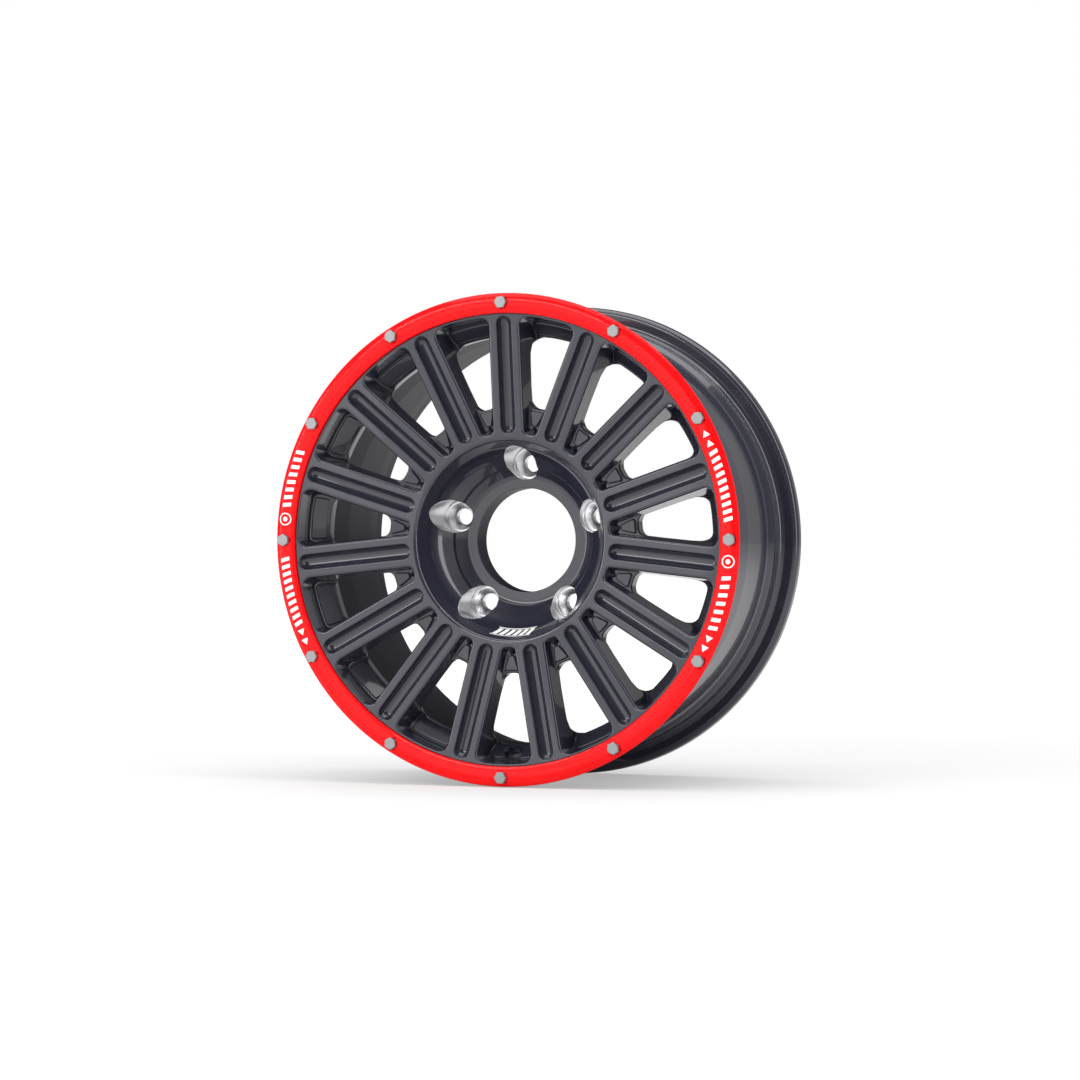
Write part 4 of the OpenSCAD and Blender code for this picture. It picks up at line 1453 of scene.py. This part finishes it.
def per_size(size_mm):
    """Scale of a pattern, in repeats per metre, from the size of one repeat in millimetres."""
    return 1000.0 / size_mm


def mottled(tree, rgba, pattern, low, high, start=0.0, end=1.0):
    """A colour times factors from low to high, made from a pattern's values from start to end."""
    factor = add_node(
        tree, "ShaderNodeMapRange", None, Value=pattern, From_Min=start, From_Max=end, To_Min=low, To_Max=high
    )
    product = add_node(
        tree, "ShaderNodeMix", {"data_type": "RGBA", "blend_type": "MULTIPLY"}, Factor=1.0, i6=rgba,
        i7=factor.outputs[0]
    )
    return product.outputs[2]


def sprayed(name, rgba, roughness, specular, coat, coat_roughness, tone):
    """A sprayed and stoved finish under clear lacquer.

    The colour drifts by a few per cent over 30 mm, as film thickness does. Orange peel, in waves of about
    3 mm and 0.001 mm high, is too fine to bend a reflection at this size. It is drawn as lacquer that is
    slightly duller in patches 12 mm wide.
    """
    material, tree = new_material(name)
    place = add_node(tree, "ShaderNodeTexCoord").outputs["Object"]
    drift = add_node(tree, "ShaderNodeTexNoise", None, Vector=place, Scale=per_size(30), Detail=2.0)
    peel = add_node(
        tree, "ShaderNodeTexNoise", None, Vector=place, Scale=per_size(12), Detail=1.0, Roughness=0.4
    )
    dull = add_node(
        tree, "ShaderNodeMapRange", None, Value=peel.outputs["Fac"], From_Min=0.3, From_Max=0.7,
        To_Min=coat_roughness, To_Max=1.6 * coat_roughness
    )
    shader = add_node(
        tree, "ShaderNodeBsdfPrincipled", None, Metallic=0.0, Roughness=roughness, IOR=1.5,
        Base_Color=mottled(tree, rgba, drift.outputs["Fac"], 1 - tone, 1 + tone, 0.3, 0.7),
        Specular_IOR_Level=specular, Coat_Weight=coat, Coat_Roughness=dull.outputs[0]
    )
    add_node(tree, "ShaderNodeOutputMaterial", None, Surface=shader.outputs[0])
    return material


def anthracite_paint(colours):
    """Anthracite wheel paint under clear lacquer: dark and slightly violet, with deep gloss."""
    return sprayed(
        "gloss_anthracite_paint", (*colours.paint, 1), roughness=0.24, specular=0.4, coat=1.0,
        coat_roughness=0.03, tone=0.05
    )


def anthracite_mist(colours):
    """The same paint inside the barrel and the bore, where lacquer lands as a mist: satin and dark."""
    return sprayed(
        "satin_anthracite_paint", (*colours.paint, 1), roughness=0.45, specular=0.06, coat=0.12,
        coat_roughness=0.08, tone=0.05
    )


def red_enamel(colours):
    """Gloss red enamel, sprayed: one saturated red with soft pale reflections on its crown."""
    return sprayed(
        "gloss_red_enamel", (*colours.enamel, 1), roughness=0.40, specular=0.05, coat=0.34,
        coat_roughness=0.05, tone=0.03
    )


def white_print(colours):
    """White pad-printing ink: opaque and satin, a little uneven where the film is thin."""
    material, tree = new_material("white_printing_ink")
    place = add_node(tree, "ShaderNodeTexCoord").outputs["Object"]
    film = add_node(
        tree, "ShaderNodeTexNoise", None, Vector=place, Scale=per_size(1.6), Detail=3.0
    ).outputs["Fac"]
    rough = add_node(tree, "ShaderNodeMapRange", None, Value=film, To_Min=0.42, To_Max=0.58)
    shader = add_node(
        tree, "ShaderNodeBsdfPrincipled", None, IOR=1.48, Roughness=rough.outputs[0],
        Base_Color=mottled(tree, (*colours.print_white, 1), film, 0.94, 1.0)
    )
    add_node(tree, "ShaderNodeOutputMaterial", None, Surface=shader.outputs[0])
    return material


def turned_aluminium():
    """Bare aluminium turned in the stud pockets: bright, with fine tool rings round each stud's axis.

    A finishing tool leaves rings 0.1 mm apart. They are drawn 0.5 mm apart, because finer ones would not
    show. The lathe map gives millimetres across the rings, and turns along them.
    """
    material, tree = new_material("turned_aluminium")
    lathe = add_node(tree, "ShaderNodeUVMap", {"uv_map": "lathe"}).outputs[0]
    # rings per millimetre across the tool's path, and waves per turn along it
    stretched = add_node(
        tree, "ShaderNodeVectorMath", {"operation": "MULTIPLY"}, i0=lathe, i1=(2.0, 0.6, 0.0)
    ).outputs[0]
    rings = add_node(
        tree, "ShaderNodeTexNoise", None, Vector=stretched, Scale=1.0, Detail=3.0, Roughness=0.7
    ).outputs["Fac"]
    rough = add_node(tree, "ShaderNodeMapRange", None, Value=rings, To_Min=0.21, To_Max=0.27)
    bump = add_node(tree, "ShaderNodeBump", None, Strength=0.02, Distance=0.0001, Height=rings)
    shader = add_node(
        tree, "ShaderNodeBsdfPrincipled", None, Metallic=1.0, Roughness=rough.outputs[0],
        Base_Color=mottled(tree, linear("f4f4f6"), rings, 0.86, 1.0, 0.3, 0.7), Normal=bump.outputs[0]
    )
    add_node(tree, "ShaderNodeOutputMaterial", None, Surface=shader.outputs[0])
    return material


def zinc_plate():
    """Bright zinc plate on cold-forged steel bolts: silver-grey, with a faint mottle about 1 mm across."""
    material, tree = new_material("bright_zinc_plate")
    place = add_node(tree, "ShaderNodeTexCoord").outputs["Object"]
    mottle = add_node(tree, "ShaderNodeTexVoronoi", None, Vector=place, Scale=per_size(1.1))
    cloud = add_node(tree, "ShaderNodeTexNoise", None, Vector=place, Scale=per_size(2.5), Detail=2.0)
    rough = add_node(
        tree, "ShaderNodeMapRange", None, Value=cloud.outputs["Fac"], To_Min=0.42, To_Max=0.52
    )
    shader = add_node(
        tree, "ShaderNodeBsdfPrincipled", None, Metallic=1.0, Roughness=rough.outputs[0],
        Base_Color=mottled(tree, linear("a8a9aa"), mottle.outputs["Distance"], 0.9, 1.0)
    )
    add_node(tree, "ShaderNodeOutputMaterial", None, Surface=shader.outputs[0])
    return material


def cut_steel():
    """Plain cut steel of the thread inserts: mid grey, with the rings of a 1 mm thread along the axis."""
    material, tree = new_material("plain_cut_steel")
    place = add_node(tree, "ShaderNodeTexCoord").outputs["Object"]
    # a wave texture at scale 1 has a band every tenth of pi
    thread = add_node(
        tree, "ShaderNodeTexWave", {"bands_direction": "Y"}, Vector=place, Scale=per_size(1.0) * math.pi / 10,
        Distortion=0.0
    ).outputs["Fac"]
    bump = add_node(tree, "ShaderNodeBump", None, Strength=0.5, Distance=0.0003, Height=thread)
    cloud = add_node(tree, "ShaderNodeTexNoise", None, Vector=place, Scale=per_size(2.0), Detail=2.0)
    rough = add_node(tree, "ShaderNodeMapRange", None, Value=cloud.outputs["Fac"], To_Min=0.3, To_Max=0.5)
    shader = add_node(
        tree, "ShaderNodeBsdfPrincipled", None, Base_Color=linear("a9aaac"), Metallic=1.0,
        Roughness=rough.outputs[0], Normal=bump.outputs[0]
    )
    add_node(tree, "ShaderNodeOutputMaterial", None, Surface=shader.outputs[0])
    return material


# Stage


def ray_kinds(tree):
    """Two outputs: 1 for rays from the camera, and 1 for rays reflected or refracted by the object."""
    path = add_node(tree, "ShaderNodeLightPath")
    either = add_node(
        tree, "ShaderNodeMath", {"operation": "MAXIMUM"}, i0=path.outputs["Is Glossy Ray"],
        i1=path.outputs["Is Transmission Ray"]
    )
    return path.outputs["Is Camera Ray"], either.outputs[0]


# Brightness of the studio, where 1 is white: on matt surfaces, and as reflections see it in front of the
# wheel, behind it to the left and behind it to the right
STUDIO_FILL, STUDIO_FRONT, BACK_LEFT, BACK_RIGHT = 0.80, 0.16, 0.04, 0.36
# White that is added to the floor near the wheel, where the lamps reach it, and far away, and how light the
# floor is as it lights the wheel and shows in its reflections
FLOOR_NEAR, FLOOR_FAR, FLOOR_ON_WHEEL = 0.36, 0.80, 0.60


def build_world():
    """A studio that lights matt surfaces evenly and looks dark in reflections. The camera sees it white."""
    world = bpy.data.worlds.new("studio")
    world.use_nodes = True
    tree = world.node_tree
    tree.nodes.clear()
    direction = add_node(tree, "ShaderNodeTexCoord").outputs["Generated"]
    parts = add_node(tree, "ShaderNodeSeparateXYZ", None, Vector=direction)
    smooth, number = {"interpolation_type": "SMOOTHSTEP"}, {"data_type": "FLOAT"}
    back = add_node(
        tree, "ShaderNodeMapRange", smooth, Value=parts.outputs["X"], From_Min=-0.3, From_Max=0.4,
        To_Min=BACK_LEFT, To_Max=BACK_RIGHT
    )
    reflected = add_node(
        tree, "ShaderNodeMapRange", smooth, Value=parts.outputs["Y"], From_Min=0.0, From_Max=0.7,
        To_Min=STUDIO_FRONT, To_Max=back.outputs[0]
    )
    camera_ray, reflected_ray = ray_kinds(tree)
    on_object = add_node(
        tree, "ShaderNodeMix", number, i0=reflected_ray, i2=STUDIO_FILL, i3=reflected.outputs[0]
    )
    strength = add_node(tree, "ShaderNodeMix", number, i0=camera_ray, i2=on_object.outputs[0], i3=1.0)
    shader = add_node(
        tree, "ShaderNodeBackground", None, Color=(1, 1, 1, 1), Strength=strength.outputs[0]
    )
    add_node(tree, "ShaderNodeOutputWorld", None, Surface=shader.outputs[0])
    bpy.context.scene.world = world


def build_floor(colours):
    """A floor that keeps the wheel's shadow and melts into the white background.

    It is a matt grey surface with added white for the camera, so that it is full white where nothing shades
    it. The white grows with the distance from the wheel, where the lamps no longer reach it.
    """
    reach = 14.0
    bottom = cad_box[0][2]
    corners = [(x * reach, y * reach, bottom) for x, y in ((-1, -1), (1, -1), (1, 1), (-1, 1))]
    mesh = bpy.data.meshes.new("floor")
    mesh.from_pydata(corners, [], [(0, 1, 2, 3)])
    floor = bpy.data.objects.new("floor", mesh)
    bpy.context.scene.collection.objects.link(floor)
    material, tree = new_material("matt_white_floor")
    place = add_node(tree, "ShaderNodeTexCoord").outputs["Object"]
    camera_ray, _ = ray_kinds(tree)
    distance = add_node(tree, "ShaderNodeVectorMath", {"operation": "LENGTH"}, i0=place)
    needed = add_node(
        tree, "ShaderNodeMapRange", {"interpolation_type": "SMOOTHSTEP"}, Value=distance.outputs["Value"],
        From_Min=0.5, From_Max=2.4, To_Min=FLOOR_NEAR, To_Max=FLOOR_FAR
    )
    glow = add_node(
        tree, "ShaderNodeMath", {"operation": "MULTIPLY"}, i0=camera_ray, i1=needed.outputs[0]
    )
    tint = add_node(
        tree, "ShaderNodeMix", {"data_type": "RGBA"}, Factor=camera_ray, i6=(*[FLOOR_ON_WHEEL] * 3, 1),
        i7=(*colours.floor, 1)
    )
    shader = add_node(
        tree, "ShaderNodeBsdfPrincipled", None, Base_Color=tint.outputs[2], Roughness=0.31,
        Specular_IOR_Level=0.0, Emission_Color=(1, 1, 1, 1), Emission_Strength=glow.outputs[0]
    )
    add_node(tree, "ShaderNodeOutputMaterial", None, Surface=shader.outputs[0])
    mesh.materials.append(material)


# Softboxes: name, azimuth and elevation in degrees seen from the wheel (azimuth 0 is in front of its face,
# 90 to its right), distance, width and height in metres, and brightness where 1 is white
SOFTBOXES = (
    ("key", -8, 6, 2.8, 1.40, 1.55, 1.3),
    ("middle", -24.5, 6, 2.8, 0.25, 1.55, 0.8),
    ("side", -38.5, 6, 2.8, 1.14, 1.55, 1.4),
    ("upper", -27, 32, 2.7, 1.9, 0.66, 5.0),
    ("top", 0, 88, 2.4, 3.0, 2.6, 2.2),
    ("left", -66, 8, 2.8, 0.9, 1.8, 3.2),
    ("right", 75, 30, 2.8, 0.62, 3.8, 3.8),
)


def build_lamps():
    """Rectangular softboxes that face the wheel. A lamp's power is its brightness times its area times pi."""
    for name, azimuth, lift, distance, width, height, brightness in SOFTBOXES:
        a, e = math.radians(azimuth), math.radians(lift)
        place = Vector((math.sin(a) * math.cos(e), -math.cos(a) * math.cos(e), math.sin(e))) * distance
        data = bpy.data.lights.new(name, "AREA")
        data.shape = "RECTANGLE"
        data.size, data.size_y = width, height
        data.energy = brightness * width * height * math.pi
        lamp = bpy.data.objects.new(name, data)
        lamp.location = place
        lamp.rotation_euler = (-place).to_track_quat("-Z", "Y").to_euler()
        bpy.context.scene.collection.objects.link(lamp)


def build_camera():
    """The photograph's view, fitted to the outlines of the flanges and the bore in its 1080 pixel frame."""
    picture_px, focal_px = 1080, 3226.9
    azimuth, lift = math.radians(19.92), math.radians(-0.12)
    distance, shift_right, shift_down, ring_front = 2.8688, 0.03495, 0.00014, 0.0899
    back = Vector((math.sin(azimuth) * math.cos(lift), -math.cos(azimuth) * math.cos(lift), math.sin(lift)))
    right = Vector((math.cos(azimuth), math.sin(azimuth), 0))
    up = right.cross(-back)
    data = bpy.data.cameras.new("camera")
    camera = bpy.data.objects.new("camera", data)
    bpy.context.scene.collection.objects.link(camera)
    matrix = Matrix((right, up, back)).transposed().to_4x4()
    matrix.translation = back * distance + right * shift_right - up * shift_down + Vector((0, -ring_front, 0))
    camera.matrix_world = matrix
    data.sensor_width = 36
    data.lens = focal_px / picture_px * data.sensor_width
    data.clip_end = 100
    bpy.context.scene.camera = camera


# Operators and panel


class WHEEL_OT_casting(bpy.types.Operator):
    """Builds the painted casting with its bare stud pockets"""

    bl_idname = "wheel.casting"
    bl_label = "Casting"

    def execute(self, context):
        colours = context.scene.wheel_colours
        finishes = [anthracite_paint(colours), turned_aluminium(), anthracite_mist(colours)]
        add_piece("wheel_body", build_casting(Face()), finishes, ["wheel_casting"])
        return {"FINISHED"}


class WHEEL_OT_ring(bpy.types.Operator):
    """Builds the red outer ring"""

    bl_idname = "wheel.ring"
    bl_label = "Outer Ring"

    def execute(self, context):
        enamel = red_enamel(context.scene.wheel_colours)
        add_piece("red_outer_ring", build_ring(Ring()), [enamel], ["outer_ring"])
        return {"FINISHED"}


class WHEEL_OT_bolts(bpy.types.Operator):
    """Builds the ring's bolts and gives the thread inserts their steel"""

    bl_idname = "wheel.bolts"
    bl_label = "Ring Bolts"

    def execute(self, context):
        ring, zinc, steel = Ring(), zinc_plate(), cut_steel()
        for number, angle in enumerate(ring.bolt_angles(), 1):
            bolt = build_bolt(ring, angle)
            add_piece(f"hex_bolt_{number:02d}", bolt, [zinc], [f"ring_bolt_{number:02d}"])
            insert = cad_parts[f"thread_insert_{number:02d}"]
            for slot in insert.material_slots:
                slot.material = steel
        return {"FINISHED"}


class WHEEL_OT_marks(bpy.types.Operator):
    """Builds the plain printed marks on the ring and in the bowl"""

    bl_idname = "wheel.marks"
    bl_label = "Printed Marks"

    def execute(self, context):
        ink = white_print(context.scene.wheel_colours)
        add_piece("printed_marks", build_marks(Ring(), Face()), [ink])
        return {"FINISHED"}


class WHEEL_OT_stage(bpy.types.Operator):
    """Builds the floor, the lamps, the world and the camera"""

    bl_idname = "wheel.stage"
    bl_label = "Stage"

    def execute(self, context):
        context.scene.view_settings.view_transform = "Standard"
        build_camera()
        build_world()
        build_floor(context.scene.wheel_colours)
        build_lamps()
        return {"FINISHED"}


class WHEEL_PT_panel(bpy.types.Panel):
    """Sizes and colours of the wheel, and a button for each piece"""

    bl_idname = "WHEEL_PT_panel"
    bl_label = "Off-road Wheel"
    bl_space_type = "VIEW_3D"
    bl_region_type = "UI"
    bl_category = "Wheel"

    def draw(self, context):
        for group in (context.scene.wheel_rim, context.scene.wheel_face, context.scene.wheel_colours):
            box = self.layout.box()
            for key in group.__annotations__:
                box.prop(group, key)
        for operator in OPERATORS:
            self.layout.operator(operator.bl_idname)


OPERATORS = (WHEEL_OT_stage, WHEEL_OT_casting, WHEEL_OT_ring, WHEEL_OT_bolts, WHEEL_OT_marks)
CLASSES = (RimSizes, FaceSizes, FinishColours, *OPERATORS, WHEEL_PT_panel)


def register():
    for cls in CLASSES:
        bpy.utils.register_class(cls)
    bpy.types.Scene.wheel_rim = PointerProperty(type=RimSizes)
    bpy.types.Scene.wheel_face = PointerProperty(type=FaceSizes)
    bpy.types.Scene.wheel_colours = PointerProperty(type=FinishColours)


def unregister():
    del bpy.types.Scene.wheel_colours, bpy.types.Scene.wheel_face, bpy.types.Scene.wheel_rim
    for cls in reversed(CLASSES):
        bpy.utils.unregister_class(cls)


def main():
    """Registers the add-on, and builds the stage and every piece."""
    register()
    bpy.ops.wheel.stage()
    bpy.ops.wheel.casting()
    bpy.ops.wheel.ring()
    bpy.ops.wheel.bolts()
    bpy.ops.wheel.marks()


if __name__ == "__main__":
    main()
